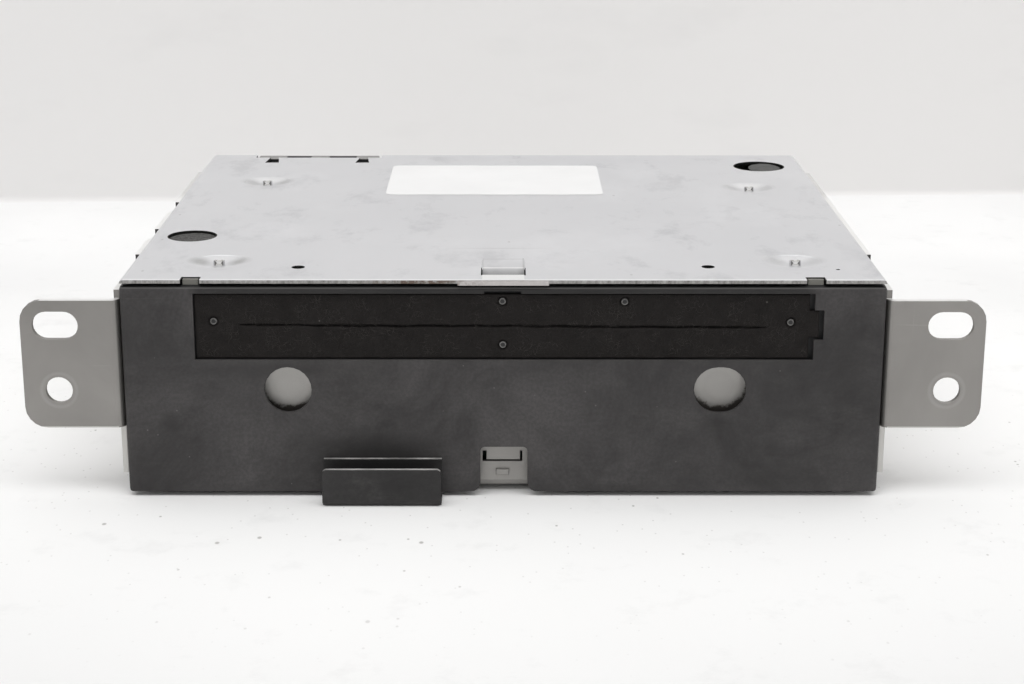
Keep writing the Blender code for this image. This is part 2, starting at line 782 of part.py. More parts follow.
def folded_sheet(name, low, high, open_sides, sheet, finish, fold=FOLD_RADIUS):
    """Sheet folded round a box, with the named sides left out and its folds rounded."""
    shape = bmesh.new()
    bmesh.ops.create_cube(shape, size=1)
    low = Vector(low)
    high = Vector(high)
    shape.transform(Matrix.Translation((low + high) / 2) @ Matrix.Diagonal((*(high - low), 1)))
    shape.normal_update()
    gone = [
        face
        for face in shape.faces
        if any(face.normal.dot(OPEN_SIDES[side]) > SMOOTH_ANGLE for side in open_sides)
    ]
    bmesh.ops.delete(shape, geom=gone, context="FACES")
    folds = [edge for edge in shape.edges if len(edge.link_faces) == 2]
    bmesh.ops.bevel(
        shape,
        geom=folds,
        offset=fold + sheet,
        segments=FOLD_STEPS,
        profile=FOLD_PROFILE_SHARE,
        affect="EDGES",
    )
    made = place(name, mesh_of(shape, name), finish)
    shell = made.modifiers.new("sheet", "SOLIDIFY")
    shell.thickness = sheet
    shell.offset = -1
    shell.use_even_offset = True
    return made


# Outlines
def arc(centre, radius, start, end, steps=CORNER_STEPS):
    """Points along an arc, with its angles in degrees."""
    angles = [math.radians(start + (end - start) * step / steps) for step in range(steps + 1)]
    return [(centre[0] + radius * math.cos(a), centre[1] + radius * math.sin(a)) for a in angles]


def circle(centre, radius, steps=ROUND_STEPS):
    return arc(centre, radius, 0, 360 - 360 / steps, steps - 1)


def rectangle(left, bottom, right, top):
    return [(left, bottom), (right, bottom), (right, top), (left, top)]


def rounded_rectangle(left, bottom, right, top, radius, steps=CORNER_STEPS):
    return (
        arc((right - radius, bottom + radius), radius, -90, 0, steps)
        + arc((right - radius, top - radius), radius, 0, 90, steps)
        + arc((left + radius, top - radius), radius, 90, 180, steps)
        + arc((left + radius, bottom + radius), radius, 180, 270, steps)
    )


def obround(centre, length, width):
    """Slot with half-round ends, its length along the first axis."""
    half = (length - width) / 2
    return arc((centre[0] + half, centre[1]), width / 2, -90, 90, ROUND_STEPS // 2) + arc(
        (centre[0] - half, centre[1]), width / 2, 90, 270, ROUND_STEPS // 2
    )


def corner_waste(corner, radius, toward, spare=OVERRUN):
    """Outline of what a rounded corner loses; toward gives the corner's outward signs."""
    across, along = toward
    centre = (corner[0] - across * radius, corner[1] - along * radius)
    start = math.degrees(math.atan2(0, across))
    end = math.degrees(math.atan2(along, 0))
    if end - start < -180:
        end += 360
    if end - start > 180:
        end -= 360
    far = (corner[0] + across * spare, corner[1] + along * spare)
    return arc(centre, radius, start, end) + [(centre[0], far[1]), far, (far[0], centre[1])]


def gear_outline(teeth, phase):
    """Outline of straight-sided teeth, a tooth being centred on the phase angle."""
    pitch_radius = GEAR_MODULE * teeth / 2
    tip = pitch_radius + GEAR_MODULE * GEAR_ADDENDUM_SHARE
    foot = pitch_radius - GEAR_MODULE * GEAR_DEDENDUM_SHARE
    step = 2 * math.pi / teeth
    outline = []
    for tooth in range(teeth):
        middle = phase + tooth * step
        for radius, offset in (
            (foot, -GEAR_ROOT_SHARE / 2),
            (tip, -GEAR_TIP_SHARE / 2),
            (tip, GEAR_TIP_SHARE / 2),
            (foot, GEAR_ROOT_SHARE / 2),
        ):
            angle = middle + offset * step
            outline.append((radius * math.cos(angle), radius * math.sin(angle)))
    return outline


def moved(loop, centre):
    return [(u + centre[0], v + centre[1]) for u, v in loop]


def helix(radius, pitch, turns, points_per_turn, phase=0.0):
    """Points of a helix about Z that starts at height zero."""
    count = round(turns * points_per_turn)
    path = []
    for index in range(count + 1):
        angle = phase + 2 * math.pi * index / points_per_turn
        height = pitch * index / points_per_turn
        path.append((radius * math.cos(angle), radius * math.sin(angle), height))
    return path


# Case
def make_front_cover():
    cover = folded_sheet(
        "front_cover",
        (-cover_x, 0, FLOOR_CLEARANCE),
        (cover_x, COVER_FLANGE, cover_top),
        ("back", "bottom"),
        COVER_SHEET,
        black_paint,
        COVER_FOLD,
    )
    window_right = felt_right + FELT_MARGIN_RIGHT
    tab_right = felt_right + FELT_TAB_LENGTH + FELT_MARGIN_RIGHT
    left = felt_left - FELT_MARGIN
    bottom = felt_bottom - FELT_MARGIN
    top = felt_top + FELT_MARGIN
    window = [
        (left, bottom),
        (window_right, bottom),
        (window_right, felt_tab_bottom - FELT_MARGIN),
        (tab_right, felt_tab_bottom - FELT_MARGIN),
        (tab_right, felt_tab_top + FELT_MARGIN),
        (window_right, felt_tab_top + FELT_MARGIN),
        (window_right, top),
        (FELT_NOTCH_RIGHT, top),
        (FELT_NOTCH_RIGHT, felt_notch_top),
        (FELT_NOTCH_LEFT, felt_notch_top),
        (FELT_NOTCH_LEFT, top),
        (left, top),
    ]
    lower = FLOOR_CLEARANCE - OVERRUN
    notch = (
        [(NOTCH_RIGHT + NOTCH_FLARE, lower)]
        + arc((NOTCH_RIGHT + NOTCH_FLARE, FLOOR_CLEARANCE + NOTCH_FLARE), NOTCH_FLARE, -90, -180)
        + arc((NOTCH_RIGHT - NOTCH_CORNER, NOTCH_TOP - NOTCH_CORNER), NOTCH_CORNER, 0, 90)
        + arc((NOTCH_LEFT + NOTCH_CORNER, NOTCH_TOP - NOTCH_CORNER), NOTCH_CORNER, 90, 180)
        + arc((NOTCH_LEFT - NOTCH_FLARE, FLOOR_CLEARANCE + NOTCH_FLARE), NOTCH_FLARE, 0, -90)
        + [(NOTCH_LEFT - NOTCH_FLARE, lower)]
    )
    deep = COVER_SHEET + OVERRUN
    for name, loop in (
        ("felt_window", window),
        ("round_window", circle((round_window_x, window_z), WINDOW_RADIUS)),
        (
            "long_window",
            obround(
                (long_window_x, window_z),
                2 * WINDOW_RADIUS + LONG_WINDOW_STRETCH,
                2 * WINDOW_RADIUS,
            ),
        ),
        ("bottom_notch", notch),
    ):
        cut(cover, plate(name + "_cutter", [loop], "XZ", -OVERRUN, deep))
    for side in (-1, 1):
        waste = corner_waste((side * cover_x, FLOOR_CLEARANCE), COVER_CORNER, (side, -1))
        cut(cover, plate("cover_corner_cutter", [waste], "XZ", -OVERRUN, COVER_FLANGE + OVERRUN))
        catch = block(
            "catch_tool",
            (side * catch_x - CATCH_WIDTH / 2, CATCH_SETBACK, cover_top - COVER_SHEET),
            (
                side * catch_x + CATCH_WIDTH / 2,
                CATCH_SETBACK + CATCH_THICKNESS,
                CASE_HEIGHT - CATCH_BELOW_LID,
            ),
        )
        join(cover, catch)
    return cover


def make_hook_channel():
    """Channel folded from one strip, open at its top and at both ends."""
    front = -HOOK_REACH
    back = -FIT
    inner = HOOK_FOLD - HOOK_SHEET
    profile = (
        [(back, HOOK_REAR_TOP), (back - HOOK_SHEET, HOOK_REAR_TOP)]
        + arc((back - HOOK_FOLD, HOOK_FOLD), inner, 0, -90)
        + arc((front + HOOK_FOLD, HOOK_FOLD), inner, 270, 180)
        + [(front + HOOK_SHEET, HOOK_FRONT_TOP), (front, HOOK_FRONT_TOP)]
        + arc((front + HOOK_FOLD, HOOK_FOLD), HOOK_FOLD, 180, 270)
        + arc((back - HOOK_FOLD, HOOK_FOLD), HOOK_FOLD, -90, 0)
    )
    hook = plate("hook_channel", [profile], "YZ", HOOK_LEFT, HOOK_RIGHT, black_paint)
    for side, edge in ((-1, HOOK_LEFT), (1, HOOK_RIGHT)):
        for height, way in ((0.0, -1), (HOOK_FRONT_TOP, 1)):
            waste = corner_waste((edge, height), HOOK_CORNER, (side, way), HOOK_FOLD)
            reach = front + HOOK_FOLD if way < 0 else front + HOOK_SHEET + FIT
            cut(hook, plate("hook_corner_cutter", [waste], "XZ", front - OVERRUN, reach))
    return hook


def make_felt_seal():
    outline = [
        (felt_left, felt_bottom),
        (felt_right, felt_bottom),
        (felt_right, felt_tab_bottom),
        (felt_right + FELT_TAB_LENGTH, felt_tab_bottom),
        (felt_right + FELT_TAB_LENGTH, felt_tab_top),
        (felt_right, felt_tab_top),
        (felt_right, felt_top),
        (felt_left, felt_top),
    ]
    slit = rectangle(
        -slit_x, disc_z - SLIT_HEIGHT / 2, slit_x, disc_z + SLIT_HEIGHT / 2
    )
    holes = [circle(spot, PIN_RADIUS + FIT, SMALL_STEPS) for spot in pin_places]
    return plate(
        "felt_seal",
        [outline, slit, *holes],
        "XZ",
        FELT_SETBACK,
        FELT_SETBACK + FELT_THICKNESS,
        felt_black,
    )


def make_slot_frame():
    """Plastic frame behind the felt, with the pins that locate it."""
    front = FELT_SETBACK + FELT_THICKNESS + FIT
    outline = rounded_rectangle(
        felt_left - FRAME_MARGIN,
        felt_bottom - FRAME_LOWER_MARGIN,
        felt_right + FELT_TAB_LENGTH + FRAME_MARGIN,
        cover_top - COVER_SHEET - FIT,
        COVER_CORNER,
    )
    slot = rectangle(
        -slit_x - FIT,
        disc_z - FRAME_SLOT_HEIGHT / 2,
        slit_x + FIT,
        disc_z + FRAME_SLOT_HEIGHT / 2,
    )
    frame = plate(
        "slot_frame", [outline, slot], "XZ", front, front + FRAME_THICKNESS, black_plastic
    )
    for x, z in pin_places:
        join(
            frame,
            bar(
                "seal_pin_tool",
                (x, front + SINK, z),
                (x, front - FELT_THICKNESS, z),
                PIN_RADIUS,
                steps=SMALL_STEPS,
            ),
        )
    return frame


def make_tray():
    tray = folded_sheet(
        "chassis_tray",
        (-tray_x, tray_front, FLOOR_CLEARANCE),
        (tray_x, tray_back, tray_top),
        ("top",),
        TRAY_SHEET,
        galvanised,
    )
    wall_back = tray_front + TRAY_SHEET
    before = tray_front - OVERRUN
    cut(
        tray,
        block(
            "front_wall_top_cutter",
            (-tray_x - OVERRUN, before, tray_front_top),
            (tray_x + OVERRUN, wall_back + FOLD_RADIUS, tray_top + OVERRUN),
        ),
    )
    front_loops = {
        "disc_opening": rectangle(
            -slit_x - FIT,
            disc_z - FRAME_SLOT_HEIGHT / 2,
            slit_x + FIT,
            disc_z + FRAME_SLOT_HEIGHT / 2,
        ),
        "tongue_lance": [
            (TONGUE_LEFT, TONGUE_TOP),
            (TONGUE_LEFT, TONGUE_BOTTOM),
            (TONGUE_RIGHT, TONGUE_BOTTOM),
            (TONGUE_RIGHT, TONGUE_TOP),
            (TONGUE_RIGHT - TONGUE_RIGHT_GAP, TONGUE_TOP),
            (TONGUE_RIGHT - TONGUE_RIGHT_GAP, TONGUE_BOTTOM + TONGUE_LOWER_GAP),
            (TONGUE_LEFT + TONGUE_LEFT_GAP, TONGUE_BOTTOM + TONGUE_LOWER_GAP),
            (TONGUE_LEFT + TONGUE_LEFT_GAP, TONGUE_TOP),
        ],
    }
    for name, loop in front_loops.items():
        cut(tray, plate(name + "_cutter", [loop], "XZ", before, wall_back + OVERRUN))
    join(
        tray,
        block(
            "emboss_tool",
            (EMBOSS_LEFT, tray_front - EMBOSS_HEIGHT, EMBOSS_BOTTOM),
            (EMBOSS_RIGHT, tray_front + SINK, EMBOSS_TOP),
        ),
    )
    rear_loops = {
        "connector_opening": rectangle(
            connector_left - FIT, connector_bottom - FIT, connector_right + FIT, tray_top + OVERRUN
        ),
        "amplifier_opening": rectangle(
            amplifier_x - AMPLIFIER_WIDTH / 2 - FIT,
            AMPLIFIER_BOTTOM - FIT,
            amplifier_x + AMPLIFIER_WIDTH / 2 + FIT,
            AMPLIFIER_TOP + FIT,
        ),
        "aerial_opening": circle((socket_x, SOCKET_Z), SOCKET_RADIUS + FIT),
    }
    for name, loop in rear_loops.items():
        cut(
            tray,
            plate(name + "_cutter", [loop], "XZ", tray_inner_back - OVERRUN, tray_back + OVERRUN),
        )
    for x, y in pad_places:
        join(
            tray,
            cone(
                "pad_tool",
                (x, y, FLOOR_CLEARANCE + SINK),
                (x, y, 0),
                PAD_RADIUS,
                PAD_FACE_RADIUS,
            ),
        )
        cut(
            tray,
            cone(
                "pad_hollow_cutter",
                (x, y, floor_top + OVERRUN),
                (x, y, TRAY_SHEET),
                PAD_RADIUS,
                PAD_FACE_RADIUS - TRAY_SHEET,
            ),
        )
    for x, y in board_screw_places():
        join(
            tray,
            bar(
                "board_post_tool",
                (x, y, floor_top - SINK),
                (x, y, BOARD_BOTTOM - FIT),
                POST_RADIUS,
                steps=SMALL_STEPS,
            ),
        )
        cut(
            tray,
            bar(
                "board_screw_cutter",
                (x, y, FLOOR_CLEARANCE + SINK + FIT),
                (x, y, BOARD_BOTTOM + OVERRUN),
                SCREW_RADIUS + RUNNING_FIT,
                steps=SMALL_STEPS,
            ),
        )
    for side in (-1, 1):
        for y in bracket_screw_ys:
            screw_hole(tray, (side * tray_x, y, BRACKET_SCREW_Z), "X")
    for x, _, z in rear_screw_places() + sink_screw_places():
        screw_hole(tray, (x, tray_back, z), "Y")
    return tray


def screw_hole(target, spot, axis):
    """Clears a hole for a screw through a sheet near the spot."""
    reach = SCREW_GRIP
    along = Vector((1, 0, 0)) if axis == "X" else Vector((0, 1, 0))
    start = Vector(spot) - along * reach
    end = Vector(spot) + along * reach
    cut(
        target,
        bar("screw_hole_cutter", start, end, SCREW_RADIUS + RUNNING_FIT, steps=SMALL_STEPS),
    )


def make_lid():
    lid = folded_sheet(
        "top_cover",
        (-lid_x, 0, CASE_HEIGHT - LID_FLANGE),
        (lid_x, CASE_DEPTH, CASE_HEIGHT),
        ("bottom", "front"),
        LID_SHEET,
        galvanised,
        LID_FOLD,
    )
    for side in (-1, 1):
        inner = side * (lid_x - LID_SHEET - LID_FOLD)
        outer = side * (lid_x + OVERRUN)
        cut(
            lid,
            block(
                "lid_flange_cutter",
                (min(inner, outer), -OVERRUN, CASE_HEIGHT - LID_FLANGE - OVERRUN),
                (max(inner, outer), LID_FLANGE_START, lid_under),
            ),
        )
    catch_gap = CATCH_WIDTH / 2 + FIT
    for side in (-1, 1):
        loop = rectangle(
            side * catch_x - catch_gap,
            -OVERRUN,
            side * catch_x + catch_gap,
            CATCH_SETBACK + CATCH_THICKNESS + FIT,
        )
        cut(
            lid,
            plate("catch_notch_cutter", [loop], "XY", lid_under - OVERRUN, CASE_HEIGHT + OVERRUN),
        )
    flat_loops = {
        "front_hole": circle(front_hole, FRONT_HOLE_RADIUS),
        "rear_hole": circle(rear_hole, REAR_HOLE_RADIUS),
        "tiny_hole": circle(tiny_hole, TINY_HOLE_RADIUS, SMALL_STEPS),
    }
    for index, spot in enumerate(small_hole_places):
        flat_loops[f"small_hole_{index}"] = circle(spot, SMALL_HOLE_RADIUS, SMALL_STEPS)
    cut_front = CASE_DEPTH - REAR_CUT_DEPTH
    rear_cut = [(rear_cut_left, CASE_DEPTH + OVERRUN), (rear_cut_left, cut_front)]
    for x in rear_notch_xs:
        rear_cut += [
            (x - REAR_NOTCH_NARROW / 2, cut_front),
            (x - REAR_NOTCH_WIDTH / 2, cut_front - REAR_NOTCH_DEPTH),
            (x + REAR_NOTCH_WIDTH / 2, cut_front - REAR_NOTCH_DEPTH),
            (x + REAR_NOTCH_NARROW / 2, cut_front),
        ]
    rear_cut += [(rear_cut_right, cut_front), (rear_cut_right, CASE_DEPTH + OVERRUN)]
    flat_loops["rear_cut"] = rear_cut
    for name, loop in flat_loops.items():
        low = CASE_HEIGHT - LID_FLANGE - OVERRUN if name == "rear_cut" else lid_under - OVERRUN
        cut(lid, plate(name + "_cutter", [loop], "XY", low, CASE_HEIGHT + OVERRUN))
    for x, y in well_places:
        join(
            lid,
            cone(
                "well_tool",
                (x, y, lid_under + SINK),
                (x, y, well_under),
                WELL_RADIUS + LID_SHEET,
                WELL_FLOOR_RADIUS + LID_SHEET,
            ),
        )
        widen = (WELL_RADIUS - WELL_FLOOR_RADIUS) * SINK / WELL_DEPTH
        cut(
            lid,
            cone(
                "well_hollow_cutter",
                (x, y, CASE_HEIGHT + SINK),
                (x, y, well_floor),
                WELL_RADIUS + widen,
                WELL_FLOOR_RADIUS,
            ),
            block(
                "tab_slot_cutter",
                (x - TAB_WIDTH / 2 - FIT, y - TAB_THICKNESS / 2 - FIT, well_under - OVERRUN),
                (x + TAB_WIDTH / 2 + FIT, y + TAB_THICKNESS / 2 + FIT, well_floor + SINK),
            ),
        )
    make_lid_dip(lid)
    make_lid_lip(lid)
    for x, y, z in rear_screw_places():
        screw_hole(lid, (x, y, z), "Y")
    return lid


def make_lid_dip(lid):
    """Strip in the middle of the lid's front, lanced at both sides and pressed down."""
    top = CASE_HEIGHT
    under_loop = [
        (DIP_FRONT - LID_SHEET, top - SINK),
        (DIP_FRONT - LID_SHEET, top - DIP_DEPTH - LID_SHEET),
        (DIP_LOWEST + LID_SHEET, top - DIP_DEPTH - LID_SHEET),
        (DIP_FOLD + LID_SHEET, top - DIP_FOLD_DEPTH - LID_SHEET),
        (DIP_REAR + LID_SHEET, top - SINK),
    ]
    hollow_loop = [
        (DIP_FRONT, top + SINK),
        (DIP_FRONT, top - DIP_DEPTH),
        (DIP_LOWEST, top - DIP_DEPTH),
        (DIP_FOLD, top - DIP_FOLD_DEPTH),
        (DIP_REAR, top),
        (DIP_REAR, top + SINK),
    ]
    join(
        lid,
        plate("dip_tool", [under_loop], "YZ", -DIP_HALF_WIDTH - SINK, DIP_HALF_WIDTH + SINK),
    )
    hollow_x = DIP_HALF_WIDTH - DIP_SIDE_SLIT / 2
    cut(lid, plate("dip_cutter", [hollow_loop], "YZ", -hollow_x, hollow_x))
    low = top - DIP_DEPTH - LID_SHEET - OVERRUN
    ledge = lid_under - DIP_SIDE_SLIT
    for side in (-1, 1):
        free = side * (DIP_HALF_WIDTH - DIP_SIDE_SLIT)
        edge = side * DIP_HALF_WIDTH
        beyond = side * (DIP_HALF_WIDTH + SINK + FIT)
        slit = [
            (free, low),
            (beyond, low),
            (beyond, ledge),
            (edge, ledge),
            (edge, top + OVERRUN),
            (free, top + OVERRUN),
        ]
        cut(lid, plate("dip_slit_cutter", [slit], "XZ", DIP_FRONT - SINK, DIP_FOLD - SINK))


def make_lid_lip(lid):
    """Middle of the front edge, which stands forward over the cover."""
    join(
        lid,
        block(
            "lip_tool",
            (-LIP_HALF_WIDTH, -LIP_REACH, lid_under - LIP_DROP),
            (LIP_HALF_WIDTH, SINK, CASE_HEIGHT - LIP_DROP),
        ),
    )


def make_bracket(name, side, tabs, long_tab):
    """Side plate folded outward at its front into an ear with a slot and a hole."""
    inner = bracket_x
    outer = bracket_outer
    back = CASE_DEPTH - SIDE_REAR
    front = EAR_SETBACK
    bend = front + ear_bend
    outline = (
        [(inner, back), (inner, bend)]
        + arc((inner + ear_bend, bend), ear_bend, 180, 270)
        + [(ear_tip, front), (ear_tip, front + BRACKET_SHEET)]
        + arc((inner + ear_bend, bend), EAR_FOLD, 270, 180)
        + [(outer, back)]
    )
    top = side_top + SIDE_TAB_RISE
    loop = [(side * u, v) for u, v in outline]
    bracket = plate(name, [loop], "XY", SIDE_BOTTOM, top, bracket_steel)

    def across(low, high):
        return min(side * low, side * high), max(side * low, side * high)

    bend_left, bend_right = across(inner - OVERRUN, ear_tip + OVERRUN)
    for low, high in ((ear_top, top + OVERRUN), (SIDE_BOTTOM - OVERRUN, ear_bottom)):
        cut(
            bracket,
            block("ear_waste_cutter", (bend_left, -OVERRUN, low), (bend_right, bend, high)),
        )
    ear_end = front + BRACKET_SHEET + OVERRUN
    for height, way in ((ear_top, 1), (ear_bottom, -1)):
        waste = corner_waste((side * ear_tip, height), EAR_CORNER, (side, way))
        cut(bracket, plate("ear_corner_cutter", [waste], "XZ", -OVERRUN, ear_end))
    slot = obround((side * (ear_tip - SLOT_FROM_EDGE), slot_z), SLOT_LENGTH, SLOT_WIDTH)
    hole = circle((side * (ear_tip - HOLE_FROM_EDGE), hole_z), HOLE_RADIUS)
    for tool_name, opening in (("ear_slot_cutter", slot), ("ear_hole_cutter", hole)):
        cut(bracket, plate(tool_name, [opening], "XZ", -OVERRUN, ear_end))
    plate_left, plate_right = across(inner - OVERRUN, outer + OVERRUN)
    raised = []
    end = bend
    for gap, length in tabs:
        raised.append((end + gap, end + gap + length))
        end += gap + length
    raised.append((end + long_tab[0], back - long_tab[1]))
    for loop in edge_gaps(raised, bend, back, top):
        cut(bracket, plate("side_edge_cutter", [loop], "YZ", plate_left, plate_right))
    for y in bracket_screw_ys:
        seat = (side * (tray_x + FIT), y, BRACKET_SCREW_Z)
        root_of_seat = (side * (inner + SINK), y, BRACKET_SCREW_Z)
        join(bracket, bar("bracket_seat_tool", root_of_seat, seat, SEAT_RADIUS))
    for y in bracket_screw_ys:
        screw_hole(bracket, (side * inner, y, BRACKET_SCREW_Z), "X")
    return bracket


def edge_gaps(tabs, front, back, top):
    """Outlines cut from the side plate's top edge, which leave its raised stretches standing."""
    over = top + OVERRUN
    loops = []
    start = front - OVERRUN
    for tab_start, tab_end in tabs:
        groove = tab_start - SIDE_GROOVE_WIDTH
        low = side_top - SIDE_GROOVE_DEPTH
        loops.append(
            [
                (start, over),
                (start, side_top),
                (groove, side_top),
                (groove, low),
                (tab_start, low),
                (tab_start, over),
            ]
        )
        start = tab_end
    loops.append(rectangle(start, side_top, back + OVERRUN, over))
    return loops


# Screws
def screw(name, spot, axis, grip=SCREW_GRIP):
    """Pan-head screw, its head's underside at the spot and its shank the other way."""
    profile = [
        (0, SCREW_HEAD_HEIGHT),
        (SCREW_HEAD_RADIUS * HEAD_TIP_SHARE, SCREW_HEAD_HEIGHT),
        (SCREW_HEAD_RADIUS * HEAD_SHOULDER_SHARE, SCREW_HEAD_HEIGHT * HEAD_SHOULDER_HEIGHT_SHARE),
        (SCREW_HEAD_RADIUS, 0),
        (SCREW_RADIUS, 0),
        (SCREW_RADIUS, -grip),
        (0, -grip),
    ]
    return turned(name, profile, spot, axis, zinc, SMALL_STEPS)


def board_screw_places():
    x = board_x - POST_INSET
    return [
        (side * x, y)
        for side in (-1, 1)
        for y in (board_front + POST_INSET, mech_back - POST_INSET)
    ]


def rear_screw_places():
    z = CASE_HEIGHT - REAR_SCREW_DROP
    return [(side * rear_screw_x, CASE_DEPTH + FIT, z) for side in (-1, 1)]


def sink_screw_places():
    return [
        (x, sink_front + SINK_BASE + FIT, sink_screw_z)
        for x in (sink_left + SINK_SCREW_INSET, sink_right - SINK_SCREW_INSET)
    ]


def make_screws():
    for side, side_name in ((-1, "left"), (1, "right")):
        axis = "X" if side > 0 else "-X"
        for y, where in zip(bracket_screw_ys, ("front", "rear")):
            spot = (side * (bracket_outer + FIT), y, BRACKET_SCREW_Z)
            screw(f"bracket_screw_{side_name}_{where}", spot, axis, BRACKET_SCREW_GRIP)
    for spot, side_name in zip(rear_screw_places(), ("left", "right")):
        screw(f"rear_screw_{side_name}", spot, "Y")
    for index, (x, y) in enumerate(board_screw_places(), 1):
        screw(f"board_screw_{index}", (x, y, board_top + FIT), "Z", BOARD_SCREW_GRIP)


# Electronics
def make_board():
    outline = rounded_rectangle(-board_x, board_front, board_x, board_back, BOARD_CORNER)
    holes = [
        circle(spot, SCREW_RADIUS + RUNNING_FIT, SMALL_STEPS) for spot in board_screw_places()
    ]
    plate("main_board", [outline, *holes], "XY", BOARD_BOTTOM, board_top, board_green)
    left, middle = CHIP_PLACE
    block(
        "processor_chip",
        (left - CHIP_WIDTH / 2, middle - CHIP_WIDTH / 2, part_base),
        (left + CHIP_WIDTH / 2, middle + CHIP_WIDTH / 2, part_base + CHIP_HEIGHT),
        chip_black,
    )
    bay_middle = board_back - REAR_BAY / 2
    groove = CAPACITOR_RADIUS * CAPACITOR_GROOVE_SHARE
    above, middle_of_groove, below = CAPACITOR_GROOVE_HEIGHT_SHARES
    profile = [
        (0, CAPACITOR_HEIGHT),
        (groove, CAPACITOR_HEIGHT),
        (CAPACITOR_RADIUS, CAPACITOR_HEIGHT * CAPACITOR_RIM_SHARE),
        (CAPACITOR_RADIUS, CAPACITOR_HEIGHT * above),
        (groove, CAPACITOR_HEIGHT * middle_of_groove),
        (CAPACITOR_RADIUS, CAPACITOR_HEIGHT * below),
        (CAPACITOR_RADIUS, 0),
        (0, 0),
    ]
    round_off(
        turned(
            "filter_capacitor", profile, (capacitor_x, bay_middle, part_base), "Z", sleeve_blue
        )
    )


def make_connector():
    """Harness socket, open to the rear, on a foot that stands on the board."""
    back = tray_back + CONNECTOR_PROUD
    front = back - CONNECTOR_LENGTH
    body = block(
        "harness_connector",
        (connector_left, front, connector_bottom),
        (connector_right, back, connector_top),
        black_plastic,
    )
    foot = block(
        "connector_foot_tool",
        (connector_left + CONNECTOR_FOOT, front, part_base),
        (connector_right - CONNECTOR_FOOT, tray_inner_back - FIT, connector_bottom + SINK),
    )
    join(body, foot)
    rise_front = CASE_DEPTH - REAR_CUT_DEPTH + FIT
    rise_top = connector_top + CONNECTOR_RISE
    rise = block(
        "connector_rise_tool",
        (connector_left + FIT, rise_front, connector_top - SINK),
        (connector_right - FIT, back, rise_top),
    )
    join(body, rise)
    for inset, width in CONNECTOR_POCKETS:
        pocket = block(
            "connector_pocket_cutter",
            (connector_left + inset, rise_front + POCKET_WALL, rise_top - POCKET_DEPTH),
            (connector_left + inset + width, back - POCKET_WALL, rise_top + OVERRUN),
        )
        cut(body, pocket)
    inner_left = connector_left + CONNECTOR_WALL
    inner_right = connector_right - CONNECTOR_WALL
    inner_bottom = connector_bottom + CONNECTOR_WALL
    inner_top = connector_top - CONNECTOR_WALL
    floor_y = back - CONNECTOR_SOCKET
    cut(
        body,
        block(
            "socket_cutter",
            (inner_left, floor_y, inner_bottom),
            (inner_right, back + OVERRUN, inner_top),
        ),
    )
    step_x = (inner_right - inner_left) / (PIN_COLUMNS + 1)
    step_z = (inner_top - inner_bottom) / (PIN_ROWS + 1)
    for column in range(PIN_COLUMNS):
        for row in range(PIN_ROWS):
            x = inner_left + step_x * (column + 1)
            z = inner_bottom + step_z * (row + 1)
            half = PIN_THICKNESS / 2
            join(
                body,
                block(
                    "contact_tool",
                    (x - half, floor_y - SINK, z - half),
                    (x + half, floor_y + PIN_LENGTH, z + half),
                ),
            )
    return body


def make_rear_pieces():
    back = tray_back
    chip_left = amplifier_x - AMPLIFIER_WIDTH / 2
    chip_right = amplifier_x + AMPLIFIER_WIDTH / 2
    chip = block(
        "amplifier_chip",
        (chip_left, back - AMPLIFIER_DEPTH, AMPLIFIER_BOTTOM),
        (chip_right, back, AMPLIFIER_TOP),
        chip_black,
    )
    leg_y = tray_inner_back - FIT - AMPLIFIER_LEG
    join(
        chip,
        block(
            "amplifier_leg_tool",
            (chip_left + AMPLIFIER_LEG, leg_y - AMPLIFIER_LEG, part_base),
            (chip_right - AMPLIFIER_LEG, leg_y, AMPLIFIER_BOTTOM + SINK),
        ),
    )
    block(
        "tuner_module",
        (tuner_left, board_back - REAR_BAY, part_base),
        (tuner_right, board_back - FIT, part_base + TUNER_HEIGHT),
        zinc,
    )
    length = back + SOCKET_PROUD - board_back - FIT
    bore_end = length * SOCKET_BORE_END_SHARE
    profile = [
        (SOCKET_BORE, length),
        (SOCKET_RADIUS * SOCKET_TIP_SHARE, length),
        (SOCKET_RADIUS, length * SOCKET_SHOULDER_SHARE),
        (SOCKET_RADIUS, 0),
        (0, 0),
    ]
    inner = [(0, bore_end), (SOCKET_BORE, bore_end)]
    round_off(
        turned(
            "aerial_socket", inner + profile, (socket_x, board_back + FIT, SOCKET_Z), "Y", zinc
        )
    )
    make_heat_sink()


def make_heat_sink():
    base_back = sink_front + SINK_BASE
    pitch = (sink_right - sink_left - SINK_FIN) / (SINK_FINS - 1)
    comb = []
    for fin in range(SINK_FINS):
        left = sink_left + fin * pitch
        right = left + SINK_FIN
        comb += [(left, base_back), (left, sink_back), (right, sink_back), (right, base_back)]
    comb = [(sink_left, sink_front), *comb[1:-1], (sink_right, sink_front)]
    sink = plate("heat_sink", [comb], "XY", SINK_BOTTOM, sink_top, aluminium)
    for index, (x, y, z) in enumerate(sink_screw_places(), 1):
        clear = SCREW_HEAD_RADIUS + FIT
        cut(
            sink,
            block(
                "sink_screw_bay_cutter",
                (x - clear, base_back, z - clear),
                (x + clear, sink_back + OVERRUN, z + clear),
            ),
            bar(
                "sink_screw_cutter",
                (x, sink_front - OVERRUN, z),
                (x, base_back + OVERRUN, z),
                SCREW_RADIUS + RUNNING_FIT,
                steps=SMALL_STEPS,
            ),
        )
        screw(f"heat_sink_screw_{index}", (x, y, z), "Y", SINK_BASE + SCREW_GRIP)
    return sink


